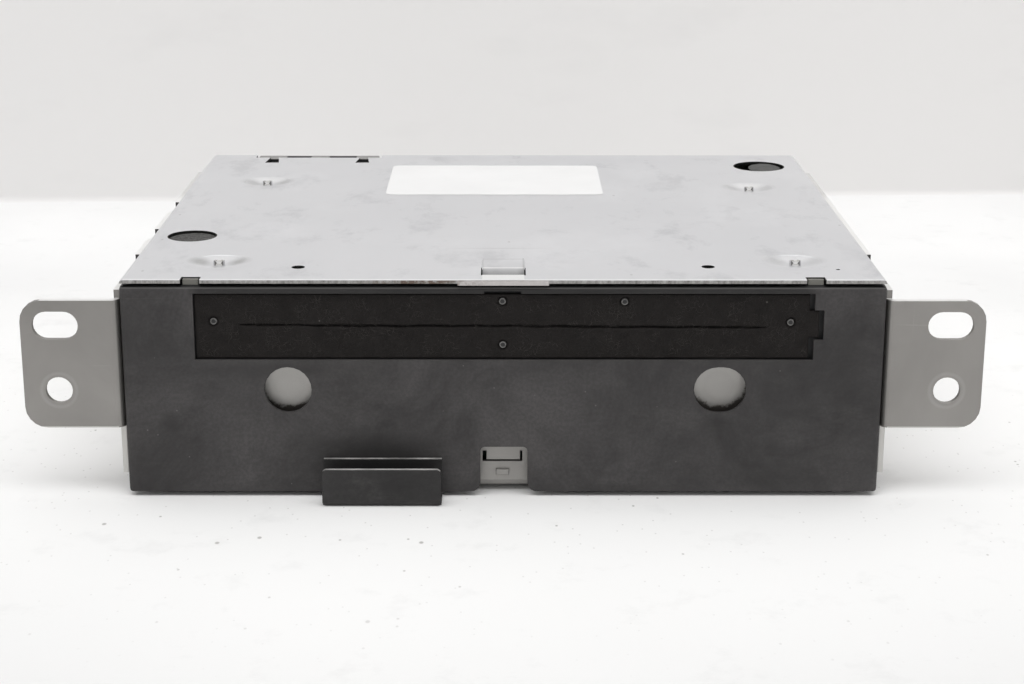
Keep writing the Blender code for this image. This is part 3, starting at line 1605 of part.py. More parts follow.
def make_ribbon():
    """Flat cable from the deck down to the board, in an easy S."""
    top = deck_bottom - FIT - RIBBON_THICKNESS
    fall = part_base - top
    middle = []
    for step in range(RIBBON_STEPS + 1):
        share = step / RIBBON_STEPS
        ease = (1 - math.cos(math.pi * share)) / 2
        middle.append((ribbon_start + RIBBON_RUN * share, top + fall * ease))
    upper = [(y, z + RIBBON_THICKNESS) for y, z in middle]
    loop = middle + upper[::-1]
    return plate(
        "ribbon_cable", [loop], "YZ", RIBBON_LEFT, RIBBON_LEFT + RIBBON_WIDTH, ribbon_tan
    )


# Disc mechanism
def link_centres():
    """Centres of the loading roller and of the idler gear, in the YZ plane."""
    roller = Vector((ROLLER_Y, roller_z))
    arm = roller - Vector(link_pivot)
    away = Vector((arm.y, -arm.x)).normalized()
    if away.y < 0:
        away.negate()
    gap = GEAR_MODULE * (ROLLER_TEETH + IDLER_TEETH) / 2 + GEAR_BACKLASH
    return roller, roller + away * gap, away


roller_centre, idler_centre, mesh_way = link_centres()
idler_pitch_radius = GEAR_MODULE * IDLER_TEETH / 2
worm_z = idler_centre.y - idler_pitch_radius - WORM_PITCH_RADIUS
worm_pitch = math.pi * GEAR_MODULE
worm_thread_y = idler_centre.x - mesh_way.x * idler_pitch_radius


def make_mech_frame():
    """Channel-shaped frame that hangs under the lid by four staked tabs."""
    x = mech_x
    inner = mech_inner
    flange = x - MECH_FLANGE
    profile = [
        (-x, mech_bottom),
        (x, mech_bottom),
        (x, mech_top),
        (flange, mech_top),
        (flange, mech_top - MECH_SHEET),
        (inner, mech_top - MECH_SHEET),
        (inner, mech_floor),
        (-inner, mech_floor),
        (-inner, mech_top - MECH_SHEET),
        (-flange, mech_top - MECH_SHEET),
        (-flange, mech_top),
        (-x, mech_top),
    ]
    frame = plate("mech_frame", [profile], "XZ", MECH_FRONT, mech_back, galvanised)
    window = rounded_rectangle(
        -x + MECH_SIDE_STRIP,
        MECH_WINDOW_FRONT,
        x - MECH_SIDE_STRIP,
        mech_back - MECH_WINDOW_REAR_BAR,
        MECH_WINDOW_CORNER,
    )
    cut(
        frame,
        plate("mech_window_cutter", [window], "XY", mech_bottom - OVERRUN, mech_floor + OVERRUN),
    )
    tab_top = CASE_HEIGHT + TAB_PROUD
    for x_tab, y_tab in well_places:
        half = TAB_WIDTH / 2
        base = mech_top - SINK
        notch = TAB_NOTCH / 2
        loop = [
            (x_tab - half, base),
            (x_tab + half, base),
            (x_tab + half, tab_top),
            (x_tab + notch, tab_top),
            (x_tab, tab_top - TAB_NOTCH),
            (x_tab - notch, tab_top),
            (x_tab - half, tab_top),
        ]
        join(
            frame,
            plate(
                "staked_tab_tool",
                [loop],
                "XZ",
                y_tab - TAB_THICKNESS / 2,
                y_tab + TAB_THICKNESS / 2,
            ),
        )
    pivot_y, pivot_z = link_pivot
    for side in (-1, 1):
        cut(
            frame,
            bar(
                "link_pivot_cutter",
                (side * (inner - OVERRUN), pivot_y, pivot_z),
                (side * (x + OVERRUN), pivot_y, pivot_z),
                LINK_PIN_RADIUS + RUNNING_FIT,
                steps=SMALL_STEPS,
            ),
        )
    join(
        frame,
        bar(
            "idler_pin_tool",
            (inner + SINK, idler_centre.x, idler_centre.y),
            (gear_start, idler_centre.x, idler_centre.y),
            IDLER_PIN_RADIUS,
            steps=SMALL_STEPS,
        ),
        block(
            "motor_saddle_tool",
            (
                worm_x - LOADING_MOTOR_RADIUS,
                LOADING_MOTOR_START + SADDLE_INSET,
                mech_floor - SINK,
            ),
            (
                worm_x + LOADING_MOTOR_RADIUS,
                LOADING_MOTOR_START + LOADING_MOTOR_LENGTH - SADDLE_INSET,
                worm_z - LOADING_MOTOR_RADIUS - FIT,
            ),
        ),
    )
    return frame


def make_disc_guide():
    bottom = disc_z + DISC_THICKNESS / 2 + GUIDE_ABOVE_DISC
    ear = mech_inner - FIT
    loop = [
        (-guide_x, GUIDE_FRONT),
        (guide_x, GUIDE_FRONT),
        (guide_x, GUIDE_EAR_FRONT),
        (ear, GUIDE_EAR_FRONT),
        (ear, GUIDE_BACK),
        (-ear, GUIDE_BACK),
        (-ear, GUIDE_EAR_FRONT),
        (-guide_x, GUIDE_EAR_FRONT),
    ]
    return plate(
        "disc_guide", [loop], "XY", bottom, bottom + GUIDE_THICKNESS, black_plastic
    )


def make_deck():
    lug_x = lug_centre_x + LUG_HALF
    wide = deck_x
    front_lug, rear_lug = ((y - LUG_HALF, y + LUG_HALF) for y in lug_ys)
    outline = [
        (-wide, DECK_FRONT),
        (wide, DECK_FRONT),
        (wide, front_lug[0]),
        (lug_x, front_lug[0]),
        (lug_x, front_lug[1]),
        (deck_shelf_x, front_lug[1]),
        (deck_shelf_x, DECK_SHELF_BACK),
        (wide, DECK_SHELF_BACK),
        (wide, rear_lug[0]),
        (lug_x, rear_lug[0]),
        (lug_x, rear_lug[1]),
        (wide, rear_lug[1]),
        (wide, deck_back),
        (-wide, deck_back),
        (-wide, rear_lug[1]),
        (-lug_x, rear_lug[1]),
        (-lug_x, rear_lug[0]),
        (-wide, rear_lug[0]),
        (-wide, front_lug[1]),
        (-lug_x, front_lug[1]),
        (-lug_x, front_lug[0]),
        (-wide, front_lug[0]),
    ]
    rod_front = SPINDLE_Y - ROD_SPREAD
    rod_rear = SPINDLE_Y + ROD_SPREAD
    window = rounded_rectangle(
        ROD_START + ROD_POST,
        rod_front + ROD_POST,
        rod_end - ROD_POST,
        rod_rear - ROD_POST,
        ROD_POST,
    )
    deck = plate("mech_deck", [outline], "XY", deck_bottom, deck_top, galvanised)
    cut(
        deck,
        plate("deck_window_cutter", [window], "XY", deck_bottom - OVERRUN, deck_top + OVERRUN),
    )
    post_top = feed_z + FEED_CORE + FEED_THREAD + ROD_POST_MARGIN
    spans = (
        (feed_y - FEED_CORE - ROD_POST_MARGIN, rod_front + ROD_RADIUS + ROD_POST_MARGIN),
        (rod_rear - ROD_RADIUS - ROD_POST_MARGIN, rod_rear + ROD_RADIUS + ROD_POST_MARGIN),
    )
    for left, right in (
        (ROD_START - FIT - ROD_POST, ROD_START - FIT),
        (rod_end + FIT, rod_end + FIT + ROD_POST),
    ):
        for low, high in spans:
            join(
                deck,
                block("rod_post_tool", (left, low, deck_top - SINK), (right, high, post_top)),
            )
    cut(
        deck,
        bar(
            "feed_bearing_cutter",
            (ROD_START - FIT - ROD_POST - OVERRUN, feed_y, feed_z),
            (rod_end + FIT + ROD_POST + OVERRUN, feed_y, feed_z),
            FEED_CORE + RUNNING_FIT,
            steps=SMALL_STEPS,
        ),
    )
    post_inner = ARM_HALF_WIDTH + FIT
    half = ARM_PIN_RADIUS + ARM_POST_MARGIN
    for side in (-1, 1):
        edges = sorted((side * post_inner, side * (post_inner + ARM_POST_WIDTH)))
        join(
            deck,
            block(
                "clamp_post_tool",
                (edges[0], arm_pivot_y - half, deck_top - SINK),
                (edges[1], arm_pivot_y + half, clamp_pivot_z + half),
            ),
        )
    reach = post_inner + ARM_POST_WIDTH + OVERRUN
    cut(
        deck,
        bar(
            "clamp_pivot_cutter",
            (-reach, arm_pivot_y, clamp_pivot_z),
            (reach, arm_pivot_y, clamp_pivot_z),
            ARM_PIN_RADIUS + RUNNING_FIT,
            steps=SMALL_STEPS,
        ),
    )
    return deck


def make_suspension():
    low = mech_floor + FIT
    high = deck_bottom - FIT
    height = high - low
    upper, waist_top, waist_bottom, lower = DAMPER_STEP_SHARES
    profile = [
        (0, height),
        (DAMPER_RADIUS, height),
        (DAMPER_RADIUS, height * upper),
        (DAMPER_WAIST, height * waist_top),
        (DAMPER_WAIST, height * waist_bottom),
        (DAMPER_RADIUS, height * lower),
        (DAMPER_RADIUS, 0),
        (0, 0),
    ]
    spring_low = deck_top + FIT + SPRING_WIRE
    spring_high = mech_top - MECH_SHEET - FIT - SPRING_WIRE
    pitch = (spring_high - spring_low) / SPRING_TURNS
    for side, side_name in ((-1, "left"), (1, "right")):
        for y, where in zip(lug_ys, ("front", "rear")):
            x = side * lug_centre_x
            round_off(
                turned(f"damper_{side_name}_{where}", profile, (x, y, low), "Z", rubber, SMALL_STEPS)
            )
            path = helix(SPRING_RADIUS, pitch, SPRING_TURNS, SPRING_POINTS)
            coil = wire(f"suspension_spring_{side_name}_{where}", path, SPRING_WIRE, zinc)
            coil.location = (x, y, spring_low)


def make_spindle():
    """Flat spindle motor and the turntable whose stem runs in it."""
    base = deck_top + FIT
    motor = [
        (STEM_RADIUS + RUNNING_FIT, MOTOR_HEIGHT),
        (MOTOR_RADIUS * MOTOR_TOP_SHARE, MOTOR_HEIGHT),
        (MOTOR_RADIUS, MOTOR_HEIGHT * MOTOR_SHOULDER_SHARE),
        (MOTOR_RADIUS, 0),
        (0, 0),
    ]
    bore = [(0, MOTOR_HEIGHT - STEM_DEPTH), (STEM_RADIUS + RUNNING_FIT, MOTOR_HEIGHT - STEM_DEPTH)]
    round_off(turned("spindle_motor", bore + motor, (0, SPINDLE_Y, base), "Z", zinc))
    platter = [
        (0, HUB_HEIGHT),
        (HUB_TIP_RADIUS, HUB_HEIGHT),
        (HUB_RADIUS, HUB_HEIGHT * HUB_CHAMFER_SHARE),
        (HUB_RADIUS, 0),
        (PLATTER_RADIUS, 0),
        (PLATTER_RADIUS, -PLATTER_THICKNESS),
        (PLATTER_NECK, -PLATTER_THICKNESS),
        (PLATTER_NECK, base + MOTOR_HEIGHT + FIT - platter_top),
        (STEM_RADIUS, base + MOTOR_HEIGHT + FIT - platter_top),
        (STEM_RADIUS, base + MOTOR_HEIGHT - STEM_DEPTH + FIT - platter_top),
        (0, base + MOTOR_HEIGHT - STEM_DEPTH + FIT - platter_top),
    ]
    round_off(turned("turntable", platter, (0, SPINDLE_Y, platter_top), "Z", black_plastic))


def make_clamp():
    """Clamp arm in its raised place, and the clamp disc that hangs in its ring."""
    tip = arc((0, SPINDLE_Y), ARM_RING, 180, 360, ROUND_STEPS // 2)
    back = arm_pivot_y + ARM_PIVOT_HALF
    front = arm_pivot_y - ARM_PIVOT_HALF
    outline = [
        (-ARM_HALF_WIDTH, front),
        *tip,
        (ARM_HALF_WIDTH, front),
        (ARM_HALF_WIDTH, back),
        (-ARM_HALF_WIDTH, back),
    ]
    hole = circle((0, SPINDLE_Y), CLAMP_STEM + CLAMP_PLAY)
    top = clamp_arm_bottom + ARM_SHEET
    arm = plate("clamp_arm", [outline, hole], "XY", clamp_arm_bottom, top, galvanised)
    reach = ARM_HALF_WIDTH + ARM_POST_WIDTH
    join(
        arm,
        bar(
            "clamp_pin_tool",
            (-reach, arm_pivot_y, clamp_pivot_z),
            (reach, arm_pivot_y, clamp_pivot_z),
            ARM_PIN_RADIUS,
            steps=SMALL_STEPS,
        ),
    )
    pivot_at(arm, (0, arm_pivot_y, clamp_pivot_z))
    stem_top = CLAMP_THICKNESS + ARM_SHEET + 2 * CLAMP_PLAY
    disc = [
        (0, stem_top + CLAMP_CAP),
        (CLAMP_CAP_RADIUS, stem_top + CLAMP_CAP),
        (CLAMP_CAP_RADIUS, stem_top),
        (CLAMP_STEM, stem_top),
        (CLAMP_STEM, CLAMP_THICKNESS),
        (CLAMP_RADIUS, CLAMP_THICKNESS),
        (CLAMP_RADIUS, 0),
        (CLAMP_RECESS_RADIUS, 0),
        (CLAMP_RECESS_RADIUS, CLAMP_RECESS),
        (0, CLAMP_RECESS),
    ]
    round_off(turned("clamp_disc", disc, (0, SPINDLE_Y, clamp_bottom), "Z", black_plastic))


def make_pickup():
    """Pickup carriage on its two rods, with the feed screw and motor beside it."""
    rods = {
        "main_guide_rod": SPINDLE_Y - ROD_SPREAD,
        "side_guide_rod": SPINDLE_Y + ROD_SPREAD,
    }
    left = CARRIAGE_START
    right = left + CARRIAGE_LENGTH
    front = feed_y + FEED_CORE + FEED_THREAD + FIT
    back = rods["side_guide_rod"] + CARRIAGE_REAR
    carriage = block(
        "pickup_carriage",
        (left, front, deck_top + FIT),
        (right, back, carriage_top),
        black_plastic,
    )
    for name, y in rods.items():
        bar(name, (ROD_START, y, rod_z), (rod_end, y, rod_z), ROD_RADIUS, zinc, SMALL_STEPS)
        cut(
            carriage,
            bar(
                "rod_bore_cutter",
                (left - OVERRUN, y, rod_z),
                (right + OVERRUN, y, rod_z),
                ROD_RADIUS + RUNNING_FIT,
                steps=SMALL_STEPS,
            ),
        )
    cut(
        carriage,
        block(
            "fork_cutter",
            (left - OVERRUN, rods["side_guide_rod"], rod_z - ROD_RADIUS - RUNNING_FIT),
            (right + OVERRUN, back + OVERRUN, rod_z + ROD_RADIUS + RUNNING_FIT),
        ),
    )
    middle = (left + right) / 2
    pivot_at(carriage, (middle, SPINDLE_Y, rod_z))
    tip, edge, holder = LENS_HEIGHT_SHARES
    lens = [
        (0, LENS_HEIGHT),
        (LENS_RADIUS * LENS_TIP_SHARE, LENS_HEIGHT * tip),
        (LENS_RADIUS, LENS_HEIGHT * edge),
        (LENS_HOLDER_RADIUS, LENS_HEIGHT * holder),
        (LENS_HOLDER_RADIUS, 0),
        (0, 0),
    ]
    spot = (middle, SPINDLE_Y, carriage_top + FIT)
    round_off(turned("pickup_lens", lens, spot, "Z", lens_glass, SMALL_STEPS))
    screw_left = ROD_START - FIT - ROD_POST
    screw_right = rod_end + FIT + ROD_POST
    core = bar(
        "feed_screw",
        (screw_left, feed_y, feed_z),
        (screw_right, feed_y, feed_z),
        FEED_CORE,
        brass,
        SMALL_STEPS,
    )
    run = rod_end - ROD_START - 2 * FIT - 2 * FEED_THREAD
    path = helix(FEED_CORE, FEED_PITCH, run / FEED_PITCH, FEED_POINTS)
    thread = wire("feed_thread_tool", path, FEED_THREAD, resolution=0)
    thread.data.transform(TURNS["X"])
    thread.location = (ROD_START + FIT + FEED_THREAD, feed_y, feed_z)
    join(core, thread)
    pivot_at(core, (ROD_START, feed_y, feed_z))
    motor_right = screw_left - FIT
    bar(
        "feed_motor",
        (motor_right - FEED_MOTOR_LENGTH, feed_y, feed_z),
        (motor_right, feed_y, feed_z),
        FEED_MOTOR_RADIUS,
        zinc,
    )


def make_roller_arm():
    """Two side links and a cross bar, on pins that turn in the frame's sides."""
    pivot_y, pivot_z = link_pivot
    tip_y, tip_z = roller_centre
    lean = math.degrees(math.atan2(tip_z - pivot_z, tip_y - pivot_y))
    loop = arc((pivot_y, pivot_z), LINK_PIVOT_RADIUS, lean - 270, lean - 90, SMALL_STEPS) + arc(
        (tip_y, tip_z), LINK_TIP_RADIUS, lean - 90, lean + 90, SMALL_STEPS
    )
    hole = circle((tip_y, tip_z), ROLLER_SHAFT_RADIUS + RUNNING_FIT, SMALL_STEPS)
    arm = block(
        "roller_arm",
        (-link_x - SINK, pivot_y - LINK_BAR_HALF, pivot_z - LINK_BAR_DROP - LINK_SHEET),
        (link_x + SINK, pivot_y + LINK_BAR_HALF, pivot_z - LINK_BAR_DROP),
        galvanised,
    )
    for side in (-1, 1):
        edges = sorted((side * link_x, side * (link_x + LINK_SHEET)))
        join(
            arm,
            plate("side_link_tool", [loop, hole], "YZ", edges[0], edges[1]),
            bar(
                "link_pin_tool",
                (side * (link_x + LINK_SHEET / 2), pivot_y, pivot_z),
                (side * (mech_x - FIT), pivot_y, pivot_z),
                LINK_PIN_RADIUS,
                steps=SMALL_STEPS,
            ),
        )
    pivot_at(arm, (0, pivot_y, pivot_z))
    coil_radius = LINK_PIN_RADIUS + RETURN_WIRE + FIT
    coil_start = -mech_inner + RETURN_WIRE + FIT
    coil_end = -link_x - LINK_SHEET - RETURN_WIRE - FIT
    pitch = (coil_end - coil_start) / RETURN_TURNS
    coil = wire(
        "roller_spring", helix(coil_radius, pitch, RETURN_TURNS, SPRING_POINTS), RETURN_WIRE, zinc
    )
    coil.data.transform(TURNS["X"])
    coil.location = (coil_start, pivot_y, pivot_z)
    return arm


def make_roller():
    y, z = roller_centre
    half = roller_half
    bore = ROLLER_SHAFT_RADIUS + RUNNING_FIT
    sleeve = ring(
        [
            (ROLLER_RADIUS, 2 * half),
            (ROLLER_WAIST, half),
            (ROLLER_RADIUS, 0),
            (bore, 0),
            (bore, 2 * half),
        ]
    )
    round_off(turned("loading_roller", sleeve, (-half, y, z), "X", rubber, SMALL_STEPS))
    shaft = bar(
        "roller_shaft",
        (-link_x - 2 * LINK_SHEET, y, z),
        (gear_start + GEAR_WIDTH + FIT, y, z),
        ROLLER_SHAFT_RADIUS,
        zinc,
        SMALL_STEPS,
    )
    pivot_at(shaft, (0, y, z))
    toward = math.atan2(mesh_way.y, mesh_way.x)
    gear = plate(
        "roller_gear",
        [
            moved(gear_outline(ROLLER_TEETH, toward), (y, z)),
            circle((y, z), ROLLER_SHAFT_RADIUS + RUNNING_FIT, SMALL_STEPS),
        ],
        "YZ",
        gear_start,
        gear_start + GEAR_WIDTH,
        nylon,
    )
    pivot_at(gear, (gear_start, y, z))


def make_loading_drive():
    """Idler gear on its pin, the worm below it and the motor that turns the worm."""
    y, z = idler_centre
    toward = math.atan2(-mesh_way.y, -mesh_way.x)
    half_tooth = math.pi / IDLER_TEETH
    idler = plate(
        "idler_gear",
        [
            moved(gear_outline(IDLER_TEETH, toward + half_tooth), (y, z)),
            circle((y, z), IDLER_PIN_RADIUS + RUNNING_FIT, SMALL_STEPS),
        ],
        "YZ",
        gear_start,
        gear_start + IDLER_WIDTH,
        nylon,
    )
    pivot_at(idler, (gear_start, y, z))
    thread_length = worm_pitch * WORM_TURNS
    start = worm_thread_y - thread_length / 2
    end = start + thread_length
    nose = start - WORM_THREAD - WORM_NOSE
    shoulder = LOADING_MOTOR_START - FIT
    worm = bar(
        "loading_worm",
        (worm_x, nose, worm_z),
        (worm_x, min(end + WORM_THREAD + WORM_NOSE, shoulder), worm_z),
        WORM_CORE,
        brass,
        SMALL_STEPS,
    )
    thread_radius = WORM_PITCH_RADIUS - WORM_THREAD_DEPTH
    path = helix(thread_radius, worm_pitch, WORM_TURNS, WORM_POINTS, -math.pi / 2)
    thread = wire("worm_thread_tool", path, WORM_THREAD)
    thread.data.transform(TURNS["Y"])
    thread.location = (worm_x, start, worm_z)
    shaft = bar(
        "worm_shaft_tool",
        (worm_x, end, worm_z),
        (worm_x, LOADING_MOTOR_START + STEM_DEPTH, worm_z),
        WORM_SHAFT_RADIUS,
        steps=SMALL_STEPS,
    )
    join(worm, thread, shaft)
    pivot_at(worm, (worm_x, worm_thread_y, worm_z))
    motor = bar(
        "loading_motor",
        (worm_x, LOADING_MOTOR_START, worm_z),
        (worm_x, LOADING_MOTOR_START + LOADING_MOTOR_LENGTH, worm_z),
        LOADING_MOTOR_RADIUS,
        zinc,
    )
    cut(
        motor,
        bar(
            "motor_bore_cutter",
            (worm_x, LOADING_MOTOR_START - OVERRUN, worm_z),
            (worm_x, LOADING_MOTOR_START + STEM_DEPTH + FIT, worm_z),
            WORM_SHAFT_RADIUS + RUNNING_FIT,
            steps=SMALL_STEPS,
        ),
    )


make_front_cover()
make_hook_channel()
make_felt_seal()
make_slot_frame()
make_tray()
make_lid()
make_bracket("left_bracket", -1, LEFT_TABS, LEFT_LONG_TAB)
make_bracket("right_bracket", 1, (), RIGHT_LONG_TAB)
make_screws()
make_board()
make_connector()
make_rear_pieces()
make_ribbon()
make_mech_frame()
make_disc_guide()
make_deck()
make_suspension()
make_spindle()
make_clamp()
make_pickup()
make_roller_arm()
make_roller()
make_loading_drive()
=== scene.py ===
"""Looks of the car radio: camera, stage, materials and the finer pieces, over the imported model."""

import math

import bmesh
import bpy
import numpy as np
from mathutils import Matrix, Vector


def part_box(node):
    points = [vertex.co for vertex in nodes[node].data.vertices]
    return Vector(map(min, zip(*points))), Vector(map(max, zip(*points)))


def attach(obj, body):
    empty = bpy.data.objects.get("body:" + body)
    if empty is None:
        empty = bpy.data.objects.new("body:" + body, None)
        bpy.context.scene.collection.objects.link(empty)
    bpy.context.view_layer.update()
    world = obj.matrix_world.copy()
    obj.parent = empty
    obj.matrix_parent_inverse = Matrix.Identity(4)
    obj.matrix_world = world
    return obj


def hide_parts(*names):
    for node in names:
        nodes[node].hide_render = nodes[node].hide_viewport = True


MM = 0.001

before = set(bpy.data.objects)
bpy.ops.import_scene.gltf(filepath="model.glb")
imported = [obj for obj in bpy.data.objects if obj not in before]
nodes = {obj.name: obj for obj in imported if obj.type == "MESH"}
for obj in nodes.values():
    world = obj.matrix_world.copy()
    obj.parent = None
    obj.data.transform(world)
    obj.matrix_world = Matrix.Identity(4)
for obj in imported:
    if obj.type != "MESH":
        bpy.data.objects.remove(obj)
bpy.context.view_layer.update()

# The photograph is measured from the outer face of the front cover, at this Y.
FRONT_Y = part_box("front_cover")[0].y
LID_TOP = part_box("top_cover")[1].z
LID_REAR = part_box("top_cover")[1].y
EAR_HOLE = (103.4 * MM, 26.1 * MM)
FELT_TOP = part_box("felt_seal")[1].z
HOOK_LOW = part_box("hook_channel")[0].z
HOOK_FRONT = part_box("hook_channel")[0].y
SMUDGES = (
    (-78, 18, 3, 3.5), (-74, 14.2, 4.5, 1.6), (68.5, 20.6, 7, 2), (63, 11.5, 5, 3.5),
    (50, 18, 5, 2.2), (-88, 40, 3, 6), (-55, 31, 30, 2.2), (80, 30, 5, 8),
)
WINDOWS = ((-50.1 * MM, 26.3 * MM), (50.5 * MM, 26.3 * MM))


# Places on the lid, in the frame's coordinates
WELLS = (
    (-67.6 * MM, FRONT_Y + 18.0 * MM),
    (69.5 * MM, FRONT_Y + 18.3 * MM),
    (-67.1 * MM, FRONT_Y + 113.0 * MM),
    (68.7 * MM, FRONT_Y + 105.0 * MM),
)
FRONT_HOLE = (-78.0 * MM, FRONT_Y + 44.6 * MM)
REAR_HOLE = (75.3 * MM, FRONT_Y + 136.2 * MM)
FRONT_HOLE_RADIUS = 6.1 * MM
REAR_HOLE_RADIUS = 7.4 * MM
CATCH_X = 71.9 * MM
CATCH_HALF = 2.3 * MM
REAR_CUT_NOTCHES = (-68.5 * MM, -41.1 * MM)
REAR_CUT_Y = FRONT_Y + 155.8 * MM


# Camera
FOCAL_PIXELS = 1976.3
IMAGE_WIDTH = 1024
CAMERA_PLACE = (0.52 * MM, -439.1 * MM, 164.4 * MM)
PITCH = math.radians(16.07)
YAW = math.radians(-0.195)
ROLL = math.radians(0.08)


def make_camera():
    """Camera solved from the case's corners in the photograph."""
    forward = Vector((-math.sin(YAW), math.cos(YAW), 0))
    right = Vector((math.cos(YAW), math.sin(YAW), 0))
    up = Vector((0, 0, 1))
    ahead = forward * math.cos(PITCH) - up * math.sin(PITCH)
    above = forward * math.sin(PITCH) + up * math.cos(PITCH)
    across = right * math.cos(ROLL) + above * math.sin(ROLL)
    above = above * math.cos(ROLL) - right * math.sin(ROLL)
    data = bpy.data.cameras.new("photo_camera")
    data.sensor_width = 36
    data.lens = FOCAL_PIXELS / IMAGE_WIDTH * data.sensor_width
    data.clip_start = 0.01
    data.clip_end = 20
    camera = bpy.data.objects.new("photo_camera", data)
    bpy.context.scene.collection.objects.link(camera)
    place = Vector(CAMERA_PLACE) + Vector((0, FRONT_Y, 0))
    camera.matrix_world = Matrix(
        (
            (across.x, above.x, -ahead.x, place.x),
            (across.y, above.y, -ahead.y, place.y),
            (across.z, above.z, -ahead.z, place.z),
            (0, 0, 0, 1),
        )
    )
    bpy.context.scene.camera = camera


# Node graphs
def toned(colour, share):
    """The colour made lighter or darker by a share."""
    return tuple(share * part for part in colour)


class Graph:
    """A material's node tree, with one Principled shader."""

    def __init__(self, name, roughness=0.5, metallic=0.0, specular=0.5):
        self.material = bpy.data.materials.new(name)
        self.material.use_nodes = True
        self.tree = self.material.node_tree
        self.shader = self.tree.nodes["Principled BSDF"]
        settings = {"Roughness": roughness, "Metallic": metallic, "Specular_IOR_Level": specular}
        self.fill(self.shader, **settings)
        self.place = self.add("ShaderNodeTexCoord").outputs["Object"]

    def add(self, kind, **settings):
        made = self.tree.nodes.new(kind)
        for key, value in settings.items():
            setattr(made, key, value)
        return made

    def feed(self, socket, value):
        """Links an output to a socket, or sets a plain value on it."""
        if isinstance(value, bpy.types.NodeSocket):
            self.tree.links.new(value, socket)
        else:
            socket.default_value = value

    def fill(self, made, **values):
        """Feeds a node's inputs by name, with _ in place of each space."""
        for name, value in values.items():
            self.feed(made.inputs[name.replace("_", " ")], value)

    def scaled(self, scale, turn=(0, 0, 0), shift=(0, 0, 0)):
        made = self.add("ShaderNodeMapping")
        self.fill(made, Vector=self.place, Scale=scale, Rotation=turn, Location=shift)
        return made.outputs["Vector"]

    def noise(self, scale, detail=4, rough=0.55, vector=None, twist=0):
        made = self.add("ShaderNodeTexNoise")
        self.fill(made, Vector=self.place if vector is None else vector, Scale=scale)
        self.fill(made, Detail=detail, Roughness=rough, Distortion=twist)
        return made.outputs["Fac"]

    def dots(self, scale, size, vector=None, chance=1.0, kind="3D"):
        """Scattered round specks: 1 inside a speck and 0 outside. 2D ones follow x and y alone."""
        cells = self.add("ShaderNodeTexVoronoi", voronoi_dimensions=kind)
        self.fill(cells, Vector=self.place if vector is None else vector, Scale=scale)
        near = self.span(cells.outputs["Distance"], size, size * 0.5, 0, 1)
        pick = self.add("ShaderNodeSeparateColor")
        self.feed(pick.inputs["Color"], cells.outputs["Color"])
        kept = self.calc("LESS_THAN", pick.outputs["Red"], chance)
        return self.calc("MULTIPLY", near, kept)

    def axes(self):
        """The three object coordinates, in metres."""
        if not hasattr(self, "parts"):
            self.parts = self.add("ShaderNodeSeparateXYZ")
            self.feed(self.parts.inputs["Vector"], self.place)
        return self.parts.outputs

    def away(self, centre, stretch=(1, 1, 1)):
        """Distance from a place in metres, longer along a stretched axis."""
        moved = self.add("ShaderNodeVectorMath", operation="SUBTRACT")
        self.feed(moved.inputs[0], self.place)
        moved.inputs[1].default_value = centre
        sized = self.add("ShaderNodeVectorMath", operation="MULTIPLY")
        self.feed(sized.inputs[0], moved.outputs["Vector"])
        sized.inputs[1].default_value = stretch
        length = self.add("ShaderNodeVectorMath", operation="LENGTH")
        self.feed(length.inputs[0], sized.outputs["Vector"])
        return length.outputs["Value"]

    def patch(self, centre, size):
        """Soft oval mark: 1 at the centre, 0 beyond the three half sizes."""
        return self.span(self.away(centre, tuple(1 / side for side in size)), 1, 0.25, 0, 1)

    def span(self, value, low, high, out_low, out_high):
        made = self.add("ShaderNodeMapRange")
        self.fill(made, Value=value, From_Min=low, From_Max=high, To_Min=out_low, To_Max=out_high)
        return made.outputs["Result"]

    def calc(self, operation, first, second=0.0):
        made = self.add("ShaderNodeMath", operation=operation)
        self.feed(made.inputs[0], first)
        self.feed(made.inputs[1], second)
        return made.outputs[0]

    def times(self, first, second):
        return self.calc("MULTIPLY", first, second)

    def plus(self, first, second):
        return self.calc("ADD", first, second)

    def most(self, first, second):
        return self.calc("MAXIMUM", first, second)

    def over(self, value, limit):
        """1 where the value is over the limit, 0 elsewhere."""
        return self.calc("GREATER_THAN", value, limit)

    def under(self, value, limit):
        """1 where the value is under the limit, 0 elsewhere."""
        return self.calc("LESS_THAN", value, limit)

    def apart(self, value, centre):
        """How far the value is from the centre, on either side."""
        return self.calc("ABSOLUTE", self.calc("SUBTRACT", value, centre))

    def facing(self):
        """The three parts of the surface's own normal."""
        parts = self.add("ShaderNodeSeparateXYZ")
        self.feed(parts.inputs["Vector"], self.add("ShaderNodeNewGeometry").outputs["True Normal"])
        return parts.outputs

    def darkening(self):
        """The share of grime that the mesh holds at each point."""
        return self.add("ShaderNodeAttribute", attribute_name="darkening").outputs["Fac"]

    def mix(self, share, first, second):
        made = self.add("ShaderNodeMix", data_type="RGBA")
        self.feed(made.inputs["Factor"], share)
        for socket, value in zip([s for s in made.inputs if s.type == "RGBA"], (first, second)):
            value = (*value, 1) if isinstance(value, tuple) else value
            self.feed(socket, value)
        return [s for s in made.outputs if s.type == "RGBA"][0]

    def blend(self, value, low, high, most, first, second):
        """First colour, then up to a share of the second as the value goes from low to high."""
        return self.mix(self.span(value, low, high, 0, most), first, second)

    def colour(self, value):
        self.feed(self.shader.inputs["Base Color"], value)

    def roughness(self, value):
        self.feed(self.shader.inputs["Roughness"], value)

